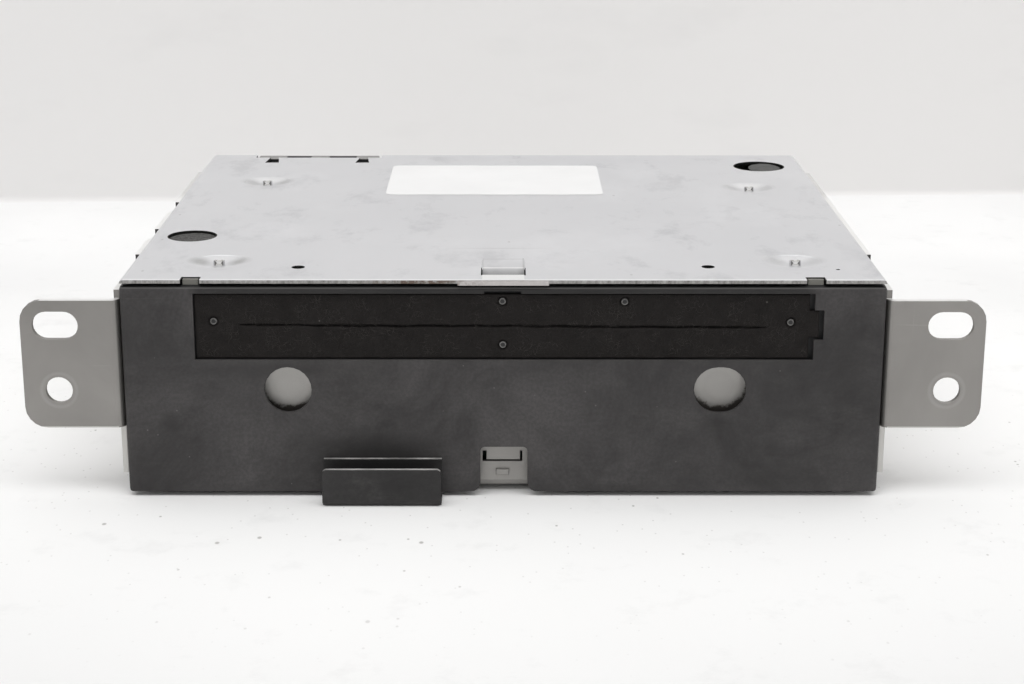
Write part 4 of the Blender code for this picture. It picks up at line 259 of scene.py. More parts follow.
    def relief(self, height, depth, strength=1.0, rounding=None):
        """Bump of a height map, over edges rounded by the given radius."""
        made = self.add("ShaderNodeBump")
        self.fill(made, Height=height, Distance=depth, Strength=strength)
        if rounding:
            edge = self.add("ShaderNodeBevel")
            edge.samples = 4
            edge.inputs["Radius"].default_value = rounding
            self.feed(made.inputs["Normal"], edge.outputs["Normal"])
        self.feed(self.shader.inputs["Normal"], made.outputs["Normal"])


# Materials
def galvanised_steel(name, light, dark, shine, rounding=0.3 * MM, windows=(), tabs=()):
    """Skin-passed galvanised sheet with handling smears and a fine grain, paler toward the rims of
    the windows, with painted shadow under their lower rims and painted shade low at the front.
    """
    graph = Graph(name, metallic=0.85)
    stains = graph.noise(22, 5, 0.6, twist=0.6)
    smears = graph.noise(9, 4, 0.5, graph.scaled((1, 0.45, 1), (0, 0, 0.5)), twist=1.2)
    grain = graph.noise(2600, 2, 0.5)
    specks = graph.dots(160, 0.05, chance=0.2)
    share = graph.span(stains, 0.35, 0.7, 0.0, 0.7)
    share = graph.plus(share, graph.span(smears, 0.55, 0.75, 0.0, 0.5))
    share = graph.plus(share, graph.times(specks, 0.5))
    base = graph.mix(share, light, dark)
    fleck = graph.span(grain, 0.3, 0.7, 0.0, 0.3)
    base = graph.mix(fleck, base, toned(light, 0.86))
    for x, z in windows:
        reach = graph.away((x, 0, z), (1, 0, 1))
        # Paler toward each window's rim.
        paler_tone = graph.span(reach, 3.4 * MM, 6.2 * MM, 0, 0.25)
        paler_tone = graph.times(paler_tone, graph.under(reach, 9 * MM))
        base = graph.mix(paler_tone, base, tuple(min(1.9 * c, 0.95) for c in light))
        # Painted shadow along each window's lower rim, on the wall behind it.
        below = graph.away((x, 0, z + 0.8 * MM), (0.9, 0, 1))
        below = graph.plus(
            below, graph.span(graph.noise(500, 5, 0.7), 0.35, 0.65, -0.5 * MM, 0.5 * MM)
        )
        below = graph.times(
            graph.span(below, 5.55 * MM, 6.2 * MM, 0, 0.85), graph.under(reach, 9 * MM)
        )
        base = graph.mix(below, base, (0.035, 0.027, 0.021))
    if windows:
        x, y, z = graph.axes()
        # Painted shade: the front of the tray darker below 15 mm, where it shows in the cover's
        # notch.
        low = graph.span(z, 15 * MM, 12 * MM, 0, 0.22)
        low = graph.times(low, graph.under(y, FRONT_Y + 5 * MM))
        base = graph.mix(low, base, (0.2, 0.19, 0.18))
    for x, y in tabs:
        beside = graph.apart(graph.axes()[0], x)
        share = graph.under(graph.away((x, y, LID_TOP), (1, 1, 1)), 2.2 * MM)
        shade = graph.blend(beside, 1.02 * MM, 1.1 * MM, 1, (0.2, 0.197, 0.19), (0.6, 0.6, 0.61))
        base = graph.mix(share, base, shade)
    graph.colour(base)
    graph.roughness(graph.span(stains, 0.3, 0.7, shine, shine + 0.14))
    waves = graph.plus(graph.times(grain, 0.2), graph.noise(160, 3, 0.5))
    graph.relief(waves, 0.02 * MM, 0.5, rounding)
    return graph.material


def lid_steel(name="galvanised_lid", strip=False):
    """Pale galvanised lid: smears and dabs, painted shade and highlights in its wells, a sheared
    front edge, brown specks, a painted highlight along the front edge and painted shade in its
    holes, openings and upright walls.
    """
    graph = Graph(name, metallic=0.8)
    smears = graph.noise(20, 8, 0.62, graph.scaled((1, 0.55, 1)), twist=0.3)
    clouds = graph.noise(14, 5, 0.5, graph.scaled((1, 0.7, 1)))
    dabs = graph.noise(75, 8, 0.68, graph.scaled((1, 0.6, 1)), twist=0.2)
    grain = graph.noise(2600, 2, 0.5)
    share = graph.span(smears, 0.56, 0.62, 0, 0.4)
    share = graph.plus(share, graph.span(clouds, 0.35, 0.65, 0, 0.3))
    share = graph.plus(share, graph.span(dabs, 0.54, 0.66, 0, 0.6))
    base = graph.mix(share, STEEL_LIGHT, STEEL_DARK)
    pale = graph.noise(30, 7, 0.6, graph.scaled((1, 0.6, 1), shift=(0.4, 0.1, 0)))
    base = graph.blend(pale, 0.56, 0.7, 0.6, base, toned(STEEL_LIGHT, 1.07))
    marks = graph.dots(70, 0.03, graph.scaled((1, 0.45, 1)), 0.12, "2D")
    base = graph.mix(graph.times(marks, 0.3), base, (0.25, 0.245, 0.24))
    line = graph.patch((-1 * MM, FRONT_Y + 31.4 * MM, LID_TOP), (14 * MM, 0.7 * MM, 1))
    base = graph.mix(graph.times(line, 0.22), base, (0.3, 0.3, 0.3))
    if strip:
        base = strip_shade(graph, base)
    else:
        base = well_shade(graph, base, dabs)
    fleck = graph.span(grain, 0.3, 0.7, 0.0, 0.12)
    base = graph.mix(fleck, base, toned(STEEL_LIGHT, 0.86))
    x, y, z = graph.axes()
    ahead = graph.span(y, FRONT_Y + 0.1 * MM, FRONT_Y + 0.04 * MM, 0, 1)
    below = graph.span(z, LID_TOP - 0.05 * MM, LID_TOP - 0.2 * MM, 0, 1)
    uneven = graph.noise(1000, 6, 0.75, graph.scaled((1, 1, 0.5)))
    sheared = graph.blend(uneven, 0.36, 0.62, 1, (0.2, 0.196, 0.188), (0.47, 0.46, 0.45))
    lip = graph.span(graph.calc("ABSOLUTE", x), 10.7 * MM, 10.3 * MM, 0, 0.75)
    sheared = graph.mix(lip, sheared, (0.66, 0.63, 0.62))
    brown = graph.patch((-19 * MM, FRONT_Y, LID_TOP), (16 * MM, 1, 1))
    rust = graph.times(brown, graph.span(graph.noise(700, 6, 0.75), 0.45, 0.55, 0, 1))
    sheared = graph.mix(graph.times(rust, 0.85), sheared, (0.13, 0.085, 0.06))
    base = graph.mix(graph.times(ahead, below), base, sheared)
    # Painted highlight along the lid's front top edge.
    rim = graph.patch((0, FRONT_Y + 0.2 * MM, LID_TOP), (1, 0.9 * MM, 0.12 * MM))
    base = graph.mix(graph.times(rim, 0.7), base, (0.93, 0.93, 0.93))
    # Painted shade on the walls of the two large holes, with a thin dark ring round each.
    for centre, radius in ((FRONT_HOLE, FRONT_HOLE_RADIUS), (REAR_HOLE, REAR_HOLE_RADIUS)):
        hole_wall_shade = graph.away((*centre, 0), (1, 1, 0))
        hole_wall_shade = graph.span(hole_wall_shade, radius + 0.12 * MM, radius + 0.04 * MM, 0, 1)
        base = graph.mix(hole_wall_shade, base, (0.035, 0.034, 0.033))
    # Painted shade in the catch openings at the front edge.
    beside = graph.apart(graph.calc("ABSOLUTE", x), CATCH_X)
    notch = graph.span(beside, CATCH_HALF, CATCH_HALF - 0.1 * MM, 0, 1)
    notch = graph.times(notch, graph.span(y, FRONT_Y + 2.75 * MM, FRONT_Y + 2.65 * MM, 0, 1))
    base = graph.mix(notch, base, (0.03, 0.03, 0.028))
    # Painted shade at the two openings in the rear edge.
    for cut_x in REAR_CUT_NOTCHES:
        cut = graph.patch((cut_x, REAR_CUT_Y, LID_TOP), (1.1 * MM, 2.6 * MM, 1))
        base = graph.mix(graph.times(cut, 0.9), base, (0.05, 0.05, 0.05))
    # Painted shade: upright walls inside the lid made near black.
    facing = graph.facing()
    walls = graph.under(graph.calc("ABSOLUTE", facing["Z"]), 0.5)
    walls = graph.times(walls, graph.over(y, FRONT_Y + 3 * MM))
    walls = graph.times(walls, graph.under(y, LID_REAR - 1 * MM))
    walls = graph.times(walls, graph.under(graph.calc("ABSOLUTE", x), 87 * MM))
    graph.colour(graph.mix(walls, base, (0.03, 0.03, 0.028)))
    graph.roughness(graph.span(clouds, 0.3, 0.7, 0.36, 0.46))
    waves = graph.plus(graph.times(grain, 0.2), graph.noise(160, 3, 0.5))
    graph.relief(waves, 0.014 * MM, 0.5, 0.15 * MM)
    return graph.material


def tab_steel():
    """Bright sheared steel of the staked tabs, dark where the mesh's darkening share says."""
    graph = Graph("staked_tab_steel", metallic=0.3)
    grain = graph.noise(900, 4, 0.6)
    base = graph.blend(grain, 0.35, 0.65, 1, (0.95, 0.94, 0.92), (0.82, 0.81, 0.79))
    graph.colour(graph.mix(graph.times(graph.darkening(), 0.85), base, (0.16, 0.157, 0.145)))
    graph.roughness(0.5)
    graph.relief(grain, 0.03 * MM, 0.6)
    return graph.material


def well_shade(graph, base, noise):
    """Painted shade on each well's flanks, a painted highlight on the rim behind it and painted
    shade in a line round its tab.
    """
    uneven = graph.span(noise, 0.35, 0.6, 0.45, 1.0)
    # Per well, the strength of the painted shade on its flanks and of the painted highlight on its
    # rim.
    for (x, y), flank, rim in zip(WELLS, (0.85, 0.35, 0.5, 0.45), (0.25, 0.3, 0.6, 0.6)):
        for side in (-1, 1):
            # Painted shade on one flank, broken up by noise.
            mark = graph.patch(
                (x + side * 4.7 * MM, y + 1.0 * MM, LID_TOP), (3.4 * MM, 4.2 * MM, 1)
            )
            mark = graph.times(graph.times(mark, uneven), flank)
            base = graph.mix(mark, base, (0.33, 0.332, 0.325))
        # Painted highlight on the rim behind the well.
        bright = graph.patch((x, y + 4.4 * MM, LID_TOP), (6.5 * MM, 2.8 * MM, 1))
        base = graph.mix(graph.times(bright, rim), base, (0.92, 0.92, 0.92))
        # Painted shade in a line round the tab.
        slot = graph.patch((x, y - 0.15 * MM, LID_TOP), (1.1 * MM, 0.8 * MM, 1))
        base = graph.mix(graph.times(slot, 0.4), base, (0.3, 0.295, 0.285))
    return base


def strip_shade(graph, base):
    """Pressed strip with painted light and shade: a dull line at its rear, shade down its slope, a
    bright crease, a dark hollow, dark sides, a bright lip.
    """
    y = graph.calc("SUBTRACT", graph.axes()[1], FRONT_Y)
    # Painted shade: a dull line along the rear bend.
    rear = graph.span(graph.apart(y, 20.1 * MM), 0.5 * MM, 0.1 * MM, 0, 0.3)
    base = graph.mix(rear, base, (0.3, 0.3, 0.3))
    # Painted shade, deepening down the slope.
    base = graph.blend(y, 19.0 * MM, 12.8 * MM, 0.22, base, (0.45, 0.45, 0.45))
    side = graph.apart(graph.axes()[0], -0.1 * MM)
    curve = graph.times(graph.span(side, 3.2 * MM, 4.9 * MM, 0, 1), -1.6 * MM)
    behind = graph.plus(y, curve)
    # Painted shade in the hollow behind the lip.
    hollow = graph.span(behind, 12.6 * MM, 7.6 * MM, 0, 0.8)
    base = graph.mix(hollow, base, (0.1, 0.1, 0.1))
    # Painted highlight along the crease.
    crease = graph.span(graph.apart(y, 12.2 * MM), 0.55 * MM, 0.15 * MM, 0, 0.85)
    base = graph.mix(crease, base, (0.95, 0.95, 0.95))
    # Painted shade along the strip's sides.
    edge = graph.span(side, 4.55 * MM, 4.85 * MM, 0, 0.4)
    base = graph.mix(edge, base, (0.2, 0.2, 0.2))
    # Painted highlight on the lip.
    return graph.blend(y, 5.0 * MM, 4.8 * MM, 1, base, (0.88, 0.88, 0.88))


def bracket_steel():
    """Dull plated bracket steel with fine scratches and a coined ring round each ear's hole; painted
    highlights on its top edges and painted shade on front-facing ends near the top.
    """
    graph = Graph("bracket_plated", metallic=0.8)
    stains = graph.noise(30, 5, 0.6, twist=0.6)
    grain = graph.noise(2400, 2, 0.5)
    fine = graph.noise(70, 3, 0.6, graph.scaled((0.2, 1, 7), (0, 0.6, 0)))
    cross = graph.noise(80, 3, 0.6, graph.scaled((7, 1, 0.25), (0, 0.25, 0)))
    specks = graph.dots(230, 0.05, chance=0.15)
    base = graph.blend(stains, 0.35, 0.7, 1, BRACKET_LIGHT, BRACKET_DARK)
    lines = graph.most(
        graph.span(fine, 0.7, 0.74, 0, 0.35), graph.span(cross, 0.72, 0.76, 0, 0.25)
    )
    base = graph.mix(lines, base, toned(BRACKET_LIGHT, 1.35))
    base = graph.mix(graph.times(specks, 0.4), base, (0.16, 0.15, 0.14))
    x, y, z = graph.axes()
    side = graph.calc("ABSOLUTE", x)
    across = graph.calc("SUBTRACT", side, EAR_HOLE[0])
    above = graph.calc("SUBTRACT", z, EAR_HOLE[1])
    reach = graph.calc("SQRT", graph.plus(graph.times(across, across), graph.times(above, above)))
    ring = graph.calc(
        "SUBTRACT", 1.0, graph.span(graph.apart(reach, 4.05 * MM), 0.1 * MM, 0.6 * MM, 0, 1)
    )
    ears = graph.span(side, 91 * MM, 93 * MM, 0, 1)
    ring = graph.times(ring, ears)
    base = graph.mix(graph.times(ring, 0.2), base, (0.5, 0.49, 0.48))
    # Painted highlight: the top edges, and two thin lines below them, made near white, paler toward
    # the front.
    top = graph.span(z, LID_TOP - 1.53 * MM, LID_TOP - 1.51 * MM, 0, 1)
    for height in (LID_TOP - 2.9 * MM, LID_TOP - 5.0 * MM):
        off = graph.apart(z, height)
        top = graph.most(top, graph.span(off, 0.12 * MM, 0.03 * MM, 0, 0.8))
    base = graph.mix(
        top,
        base,
        graph.blend(
            y, FRONT_Y + 96 * MM, FRONT_Y + 104 * MM, 1, (0.92, 0.92, 0.91), (0.73, 0.725, 0.72)
        ),
    )
    # Painted shade: front-facing ends near the top, behind the front, made near black.
    facing = graph.facing()
    ends = graph.under(facing["Y"], -0.9)
    ends = graph.times(ends, graph.over(z, LID_TOP - 4.9 * MM))
    ends = graph.times(ends, graph.over(y, FRONT_Y + 5 * MM))
    base = graph.mix(graph.times(ends, 0.85), base, (0.03, 0.03, 0.03))
    low_ends = graph.under(facing["Y"], -0.9)
    low_ends = graph.times(low_ends, graph.under(z, 17.2 * MM))
    graph.colour(graph.mix(low_ends, base, (0.62, 0.61, 0.59)))
    graph.roughness(graph.span(stains, 0.3, 0.7, 0.4, 0.52))
    height = graph.plus(graph.times(grain, 0.06), graph.noise(180, 3, 0.5))
    height = graph.plus(height, graph.times(ring, 1.2))
    graph.relief(height, 0.04 * MM, 0.7, 0.3 * MM)
    return graph.material


def black_paint(name, lighten=1.0):
    """Semi-matt black paint on sheet, mottled by handling, with dust and fine scratches; painted
    shade above, behind and inside the hook and along the top edge under the lid, and painted
    highlights on the top bend and the tops of the hook's walls.
    """
    graph = Graph(name, specular=0.42)
    mottle = graph.noise(46, 9, 0.7, twist=0.5)
    clouds = graph.noise(13, 3, 0.5, graph.scaled((1, 1, 1.6)))
    streak = graph.noise(60, 8, 0.7, graph.scaled((0.65, 1, 1.7)))
    peel = graph.noise(1500, 2, 0.5)
    dust = graph.dots(420, 0.09, chance=0.12)
    scratch = graph.noise(60, 2, 0.5, graph.scaled((0.12, 1, 9), (0, 0.35, 0)))
    dark = toned((0.019, 0.0176, 0.0177), lighten)
    pale = toned((0.069, 0.0645, 0.0648), lighten)
    base = graph.blend(mottle, 0.3, 0.72, 1, dark, pale)
    base = graph.blend(clouds, 0.5, 0.72, 0.6, base, (0.017, 0.016, 0.016))
    # The patch over the hook is partly a smear and partly painted shade; the other patches are
    # smears from handling.
    smear_and_shade_over_hook = graph.patch((-34 * MM, FRONT_Y, 12.5 * MM), (21 * MM, 1, 5.5 * MM))
    smudges_and_shade = graph.most(smear_and_shade_over_hook, graph.patch((66 * MM, FRONT_Y, 6 * MM), (26 * MM, 1, 7 * MM)))
    for place_x, place_z, wide, tall in SMUDGES:
        smudge = graph.patch((place_x * MM, FRONT_Y, place_z * MM), (wide * MM, 1, tall * MM))
        smudges_and_shade = graph.most(smudges_and_shade, smudge)
    smudges_and_shade = graph.times(smudges_and_shade, graph.span(streak, 0.35, 0.6, 0.15, 0.75))
    base = graph.mix(smudges_and_shade, base, (0.015, 0.014, 0.0135))
    base = graph.blend(streak, 0.52, 0.66, 0.35, base, (0.075, 0.071, 0.069))
    base = graph.blend(scratch, 0.745, 0.76, 0.1, base, (0.12, 0.115, 0.11))
    base = graph.mix(graph.times(dust, 0.35), base, (0.28, 0.27, 0.26))
    fine = graph.noise(1300, 3, 0.6)
    base = graph.blend(fine, 0.4, 0.6, 0.35, base, toned(pale, 0.3))
    x, y, z = graph.axes()
    over_felt = graph.span(z, FELT_TOP - 0.2 * MM, FELT_TOP + 0.2 * MM, 0, 0.72)
    over_felt = graph.times(
        over_felt, graph.span(graph.calc("ABSOLUTE", x), 73 * MM, 70 * MM, 0, 1)
    )
    base = graph.mix(over_felt, base, (0.008, 0.0075, 0.0073))
    # Painted shade: the cover near black above this height, in the gap under the lid's edge.
    flange_shade = graph.span(z, LID_TOP - 1.86 * MM, LID_TOP - 1.8 * MM, 0, 1)
    base = graph.mix(flange_shade, base, (0.002, 0.002, 0.002))
    # Painted highlight: a thin pale line along the cover's top bend.
    fold_highlight = graph.span(graph.apart(z, LID_TOP - 2.02 * MM), 0.16 * MM, 0.08 * MM, 0, 0.4)
    base = graph.mix(
        graph.times(fold_highlight, graph.span(y, FRONT_Y + 1.2 * MM, FRONT_Y + 0.8 * MM, 0, 1)),
        base,
        (0.15, 0.146, 0.142),
    )
    high = graph.span(z, LID_TOP - 1.42 * MM, LID_TOP - 1.38 * MM, 0, 1)
    paler_tone = graph.blend(mottle, 0.35, 0.65, 1, (0.12, 0.117, 0.103), (0.17, 0.166, 0.15))
    base = graph.mix(high, base, paler_tone)
    # Painted shadow on the cover above and behind the hook.
    shade_behind_hook = graph.patch((-28 * MM, FRONT_Y, 10 * MM), (17 * MM, 1, 6 * MM))
    shade_behind_hook = graph.times(shade_behind_hook, graph.over(y, FRONT_Y - 0.05 * MM))
    base = graph.mix(graph.times(shade_behind_hook, 0.6), base, (0.012, 0.0112, 0.011))
    # Painted shade inside the hook's channel, between its walls.
    channel = graph.times(
        graph.over(y, HOOK_FRONT + 0.5 * MM), graph.under(y, FRONT_Y - 0.05 * MM)
    )
    base = graph.mix(graph.times(channel, 0.42), base, (0.004, 0.004, 0.004))
    facing = graph.facing()
    # Painted highlight on the up-facing tops of the hook's walls.
    crest_highlight = graph.times(graph.over(facing["Z"], 0.7), graph.span(streak, 0.4, 0.55, 0.3, 1))
    crest_highlight = graph.times(crest_highlight, graph.under(y, FRONT_Y - 0.05 * MM))
    crest_highlight = graph.times(crest_highlight, graph.over(z, HOOK_LOW + 4 * MM))
    graph.colour(graph.mix(crest_highlight, base, (0.5, 0.49, 0.48)))
    graph.roughness(graph.span(mottle, 0.3, 0.7, 0.62, 0.44))
    graph.relief(peel, 0.008 * MM, 0.6, 0.3 * MM)
    return graph.material


def felt():
    """Matted dark brown-black felt with paler lint."""
    graph = Graph("felt_fibres", roughness=1.0, specular=0.1)
    strands = graph.noise(1500, 4, 0.7, graph.scaled((1, 1, 2.6), (0, 0.6, 0)), twist=2.5)
    other = graph.noise(1700, 4, 0.7, graph.scaled((2.4, 1, 1), (0, -0.5, 0)), twist=2.5)
    tufts = graph.noise(260, 4, 0.6)
    lint = graph.dots(330, 0.1, chance=0.07)
    crossed = graph.most(strands, other)
    base = graph.blend(crossed, 0.4, 0.75, 1, (0.011, 0.0098, 0.0096), (0.042, 0.0385, 0.037))
    base = graph.blend(tufts, 0.35, 0.7, 0.5, base, (0.015, 0.0135, 0.013))
    graph.colour(graph.mix(graph.times(lint, 0.6), base, (0.3, 0.29, 0.27)))
    height = graph.plus(crossed, graph.times(tufts, 1.2))
    graph.relief(height, 0.12 * MM, 1.0)
    return graph.material


def fibre():
    """Single felt fibres, from nearly black to dark brown."""
    graph = Graph("loose_fibres", roughness=0.9)
    shade = graph.noise(300, 1, 0.5)
    graph.colour(graph.blend(shade, 0.45, 0.62, 1, (0.02, 0.018, 0.017), (0.072, 0.067, 0.062)))
    return graph.material


def moulded(name, colour, rough, grain=900, rounding=0.25 * MM):
    """Moulded plastic or rubber with a fine grain and a slight cast to its colour."""
    graph = Graph(name)
    cloud = graph.noise(60, 4, 0.6)
    tone = graph.span(cloud, 0.3, 0.7, 0, 1)
    graph.colour(graph.mix(tone, toned(colour, 0.82), toned(colour, 1.18)))
    graph.roughness(graph.span(cloud, 0.3, 0.7, rough - 0.06, rough + 0.08))
    graph.relief(graph.noise(grain, 2, 0.5), 0.01 * MM, 0.5, rounding)
    return graph.material


def machined(name, colour, rough, stretch=(1, 1, 1), rounding=0.15 * MM):
    """Bare or plated metal with fine tool lines along one axis."""
    graph = Graph(name, metallic=1.0)
    lines = graph.noise(900, 3, 0.6, graph.scaled(stretch))
    cloud = graph.noise(70, 4, 0.6)
    tone = graph.span(cloud, 0.3, 0.7, 0, 1)
    graph.colour(graph.mix(tone, toned(colour, 0.86), colour))
    graph.roughness(graph.span(lines, 0.3, 0.7, rough - 0.05, rough + 0.12))
    graph.relief(lines, 0.006 * MM, 0.6, rounding)
    return graph.material


def socket_moulding():
    """Black moulding whose contacts, inside the socket, are plated brass."""
    graph = Graph("socket_moulding")
    low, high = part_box("harness_connector")
    x, y, z = graph.axes()
    inside = graph.over(y, high.y - 10.7 * MM)
    wall = 2.4 * MM
    for axis, start, end in (
        (x, low.x + wall, high.x - wall), (z, LID_TOP - 27.3 * MM, LID_TOP - 4.2 * MM)
    ):
        inside = graph.times(inside, graph.over(axis, start))
        inside = graph.times(inside, graph.under(axis, end))
    inner = graph.under(y, high.y - 2 * MM)
    inside = graph.times(inside, inner)
    cloud = graph.noise(60, 4, 0.6)
    tone = graph.blend(cloud, 0.3, 0.7, 1, (0.02, 0.02, 0.021), (0.035, 0.035, 0.036))
    raised = graph.span(z, LID_TOP - 0.62 * MM, LID_TOP - 0.58 * MM, 0, 1)
    tone = graph.mix(raised, tone, (0.22, 0.215, 0.21))
    graph.colour(graph.mix(inside, tone, (0.75, 0.56, 0.26)))
    graph.feed(graph.shader.inputs["Metallic"], inside)
    graph.roughness(graph.span(cloud, 0.3, 0.7, 0.4, 0.52))
    graph.relief(graph.noise(900, 2, 0.5), 0.01 * MM, 0.5, 0.2 * MM)
    return graph.material


def pin_plastic():
    """Black moulding, pale on its raised ring and near black where the mesh's darkening share says.
    """
    graph = Graph("pin_plastic", roughness=0.5)
    cloud = graph.noise(600, 4, 0.6)
    base = graph.blend(cloud, 0.35, 0.65, 1, (0.13, 0.128, 0.124), (0.24, 0.236, 0.23))
    graph.colour(graph.mix(graph.darkening(), base, (0.012, 0.011, 0.011)))
    graph.relief(cloud, 0.02 * MM, 0.5)
    return graph.material


def board_green():
    """Lacquered circuit board with tracks and pads under the lacquer."""
    graph = Graph("board_lacquer", roughness=0.32)
    brick = graph.add("ShaderNodeTexBrick")
    graph.feed(brick.inputs["Vector"], graph.place)
    brick.inputs["Scale"].default_value = 180
    brick.inputs["Mortar Size"].default_value = 0.018
    tracks = brick.outputs["Fac"]
    pads = graph.dots(420, 0.18, chance=0.3)
    base = graph.mix(graph.times(tracks, 0.6), (0.012, 0.1, 0.045), (0.03, 0.2, 0.085))
    base = graph.mix(graph.times(pads, 0.8), base, (0.6, 0.58, 0.5))
    # Painted shade: the board made darker toward the front.
    front = graph.span(graph.axes()[1], FRONT_Y + 26 * MM, FRONT_Y + 14 * MM, 0, 0.8)
    graph.colour(graph.mix(front, base, (0.01, 0.012, 0.01)))
    graph.relief(tracks, 0.03 * MM, 0.6)
    return graph.material


def foam():
    """Dark open-cell foam with paler cell walls."""
    graph = Graph("foam_pad_dark", roughness=0.95)
    cells = graph.noise(900, 4, 0.7)
    specks = graph.dots(1100, 0.2, chance=0.35)
    base = graph.blend(cells, 0.4, 0.65, 1, (0.03, 0.029, 0.028), (0.1, 0.098, 0.095))
    graph.colour(graph.mix(graph.times(specks, 0.5), base, (0.28, 0.275, 0.27)))
    graph.relief(cells, 0.15 * MM, 1.0)
    return graph.material


def disc_plastic():
    """Dull grey moulded plastic of the disc in the rear hole."""
    graph = Graph("grey_disc_plastic", roughness=0.7, specular=0.1)
    cloud = graph.noise(300, 4, 0.6)
    graph.colour(graph.blend(cloud, 0.3, 0.7, 1, (0.075, 0.075, 0.074), (0.11, 0.11, 0.108)))
    graph.relief(cloud, 0.03 * MM, 0.6)
    return graph.material


def paper():
    """Blank white label stock, a little scuffed and with a faint grey cast in places."""
    graph = Graph("label_paper", roughness=0.5)
    cloud = graph.noise(40, 4, 0.6)
    scuffs = graph.dots(300, 0.08, chance=0.08)
    base = graph.blend(cloud, 0.35, 0.7, 1, (0.79, 0.79, 0.79), (0.75, 0.75, 0.75))
    graph.colour(graph.mix(graph.times(scuffs, 0.3), base, (0.5, 0.5, 0.5)))
    graph.relief(graph.noise(700, 2, 0.5), 0.01 * MM, 0.4)
    return graph.material


STEEL_LIGHT = (0.73, 0.734, 0.752)
STEEL_DARK = (0.57, 0.575, 0.595)
INNER_LIGHT = (0.4, 0.39, 0.375)
INNER_DARK = (0.32, 0.31, 0.297)
BRACKET_LIGHT = (0.33, 0.318, 0.304)
BRACKET_DARK = (0.28, 0.27, 0.258)
finishes = {
    "galvanised_steel": galvanised_steel(
        "galvanised_inner", INNER_LIGHT, INNER_DARK, 0.4, 0.3 * MM, WINDOWS
    ),
    "bracket_steel": bracket_steel(),
    "black_paint": black_paint("black_paint_worn", 1.1),
    "black_felt": felt(),
    "black_plastic": moulded("black_moulding", (0.02, 0.02, 0.021), 0.5),
    "cast_aluminium": machined("extruded_aluminium", (0.62, 0.63, 0.65), 0.42, (1, 1, 0.1)),
    "board_green": board_green(),
    "chip_black": moulded("chip_moulding", (0.018, 0.018, 0.019), 0.55, 1400),
    "zinc_plate": machined("zinc_plated", (0.68, 0.68, 0.66), 0.3),
    "brass": machined("turned_brass", (0.72, 0.53, 0.24), 0.28, (0.2, 1, 1)),
    "grey_rubber": moulded("grey_rubber_matt", (0.045, 0.045, 0.046), 0.85, 600),
    "white_nylon": moulded("white_nylon_moulding", (0.74, 0.72, 0.66), 0.45, 700),
    "ribbon_tan": moulded("ribbon_film", (0.5, 0.3, 0.12), 0.35, 500),
    "lens_glass": moulded("coated_lens", (0.3, 0.38, 0.55), 0.08, 200),
    "sleeve_blue": moulded("capacitor_sleeve", (0.03, 0.05, 0.2), 0.35, 300),
}
lid_finish = lid_steel()

for node_name, node in nodes.items():
    used = node.material_slots[0]
    used.material = finishes[used.material.name.split(".")[0]]
nodes["top_cover"].material_slots[0].material = lid_finish
nodes["mech_frame"].material_slots[0].material = galvanised_steel(
    "mech_frame_steel", INNER_LIGHT, INNER_DARK, 0.4, 0.3 * MM, (), WELLS
)
tab_finish = tab_steel()
strip_finish = lid_steel("galvanised_strip", True)
pin_finish = pin_plastic()
nodes["hook_channel"].material_slots[0].material = black_paint("hook_paint", 0.5)
nodes["harness_connector"].material_slots[0].material = socket_moulding()


# Meshes
def piece_of(name, axes, faces, finish, smooth=True):
    """A new mesh piece on the chassis, from its points' x, y and z, with the given finish."""
    mesh = bpy.data.meshes.new(name)
    mesh.from_pydata(np.stack(axes, axis=-1).reshape(-1, 3), [], faces)
    mesh.update()
    made = bpy.data.objects.new(name, mesh)
    bpy.context.scene.collection.objects.link(made)
    mesh.materials.append(finish)
    if smooth:
        mesh.shade_smooth()
    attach(made, "chassis")
    return made


def grid_faces(rows, columns):
    """Quads of a grid whose points run along its columns first."""
    corner = np.arange((rows - 1) * columns).reshape(rows - 1, columns)[:, :-1].ravel()
    return np.stack([corner, corner + 1, corner + columns + 1, corner + columns], axis=1)


def rim_walls(faces, count):
    """Points on a sheet's open edge, and quads from that edge to copies added after count."""
    edges = np.concatenate([faces[:, [side, (side + 1) % 4]] for side in range(4)])
    codes = edges[:, 0] * count + edges[:, 1]
    edges = edges[~np.isin(codes, edges[:, 1] * count + edges[:, 0])]
    rim = np.unique(edges)
    start, end = edges[:, 0], edges[:, 1]
    copies = count + np.searchsorted(rim, edges)
    return rim, np.stack([end, start, copies[:, 0], copies[:, 1]], axis=1)


def turns(count):
    """Even angles round one turn."""
    return np.linspace(0, 2 * math.pi, count, endpoint=False)


def ring_faces(rings, count):
    """Quads between closed rings of points, each ring following the one before."""
    row = np.arange(rings - 1)[:, None] * count
    here = np.arange(count)[None, :]
    after = (here + 1) % count
    quads = [row + here, row + after, row + count + after, row + count + here]
    return np.stack(quads, axis=-1).reshape(-1, 4)


def darken_points(made, shares):
    """Gives each point of a piece its share of grime."""
    held = made.data.attributes.new("darkening", "FLOAT", "POINT")
    held.data.foreach_set("value", shares.ravel().astype(np.float32))


def smooth_step(value, low, high):
    """Eased rise from 0 at the low value to 1 at the high one."""
    share = np.clip((value - low) / (high - low), 0, 1)
    return share * share * (3 - 2 * share)


def waviness(x, z, seed, count=24, finest=0.6 * MM, coarsest=8 * MM):
    """Sum of sine waves in random directions, about -1 to 1."""
    random = np.random.default_rng(seed)
    total = np.zeros_like(x)
    for _ in range(count):
        length = finest * (coarsest / finest) ** random.random()
        angle = random.random() * 2 * math.pi
        along = x * math.cos(angle) + z * math.sin(angle)
        total += np.sin(2 * math.pi * along / length + random.random() * 6.28) * length**0.4
    return total / np.abs(total).max()


# Felt seal
FELT_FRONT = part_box("felt_seal")[0].y
PINS = ((-66.9, 42.6), (-0.2, 47.4), (28.0, 47.3), (66.4, 42.4), (-0.1, 37.0))
SLIT_HALF = 61.6 * MM
SLIT_Z = 41.5 * MM


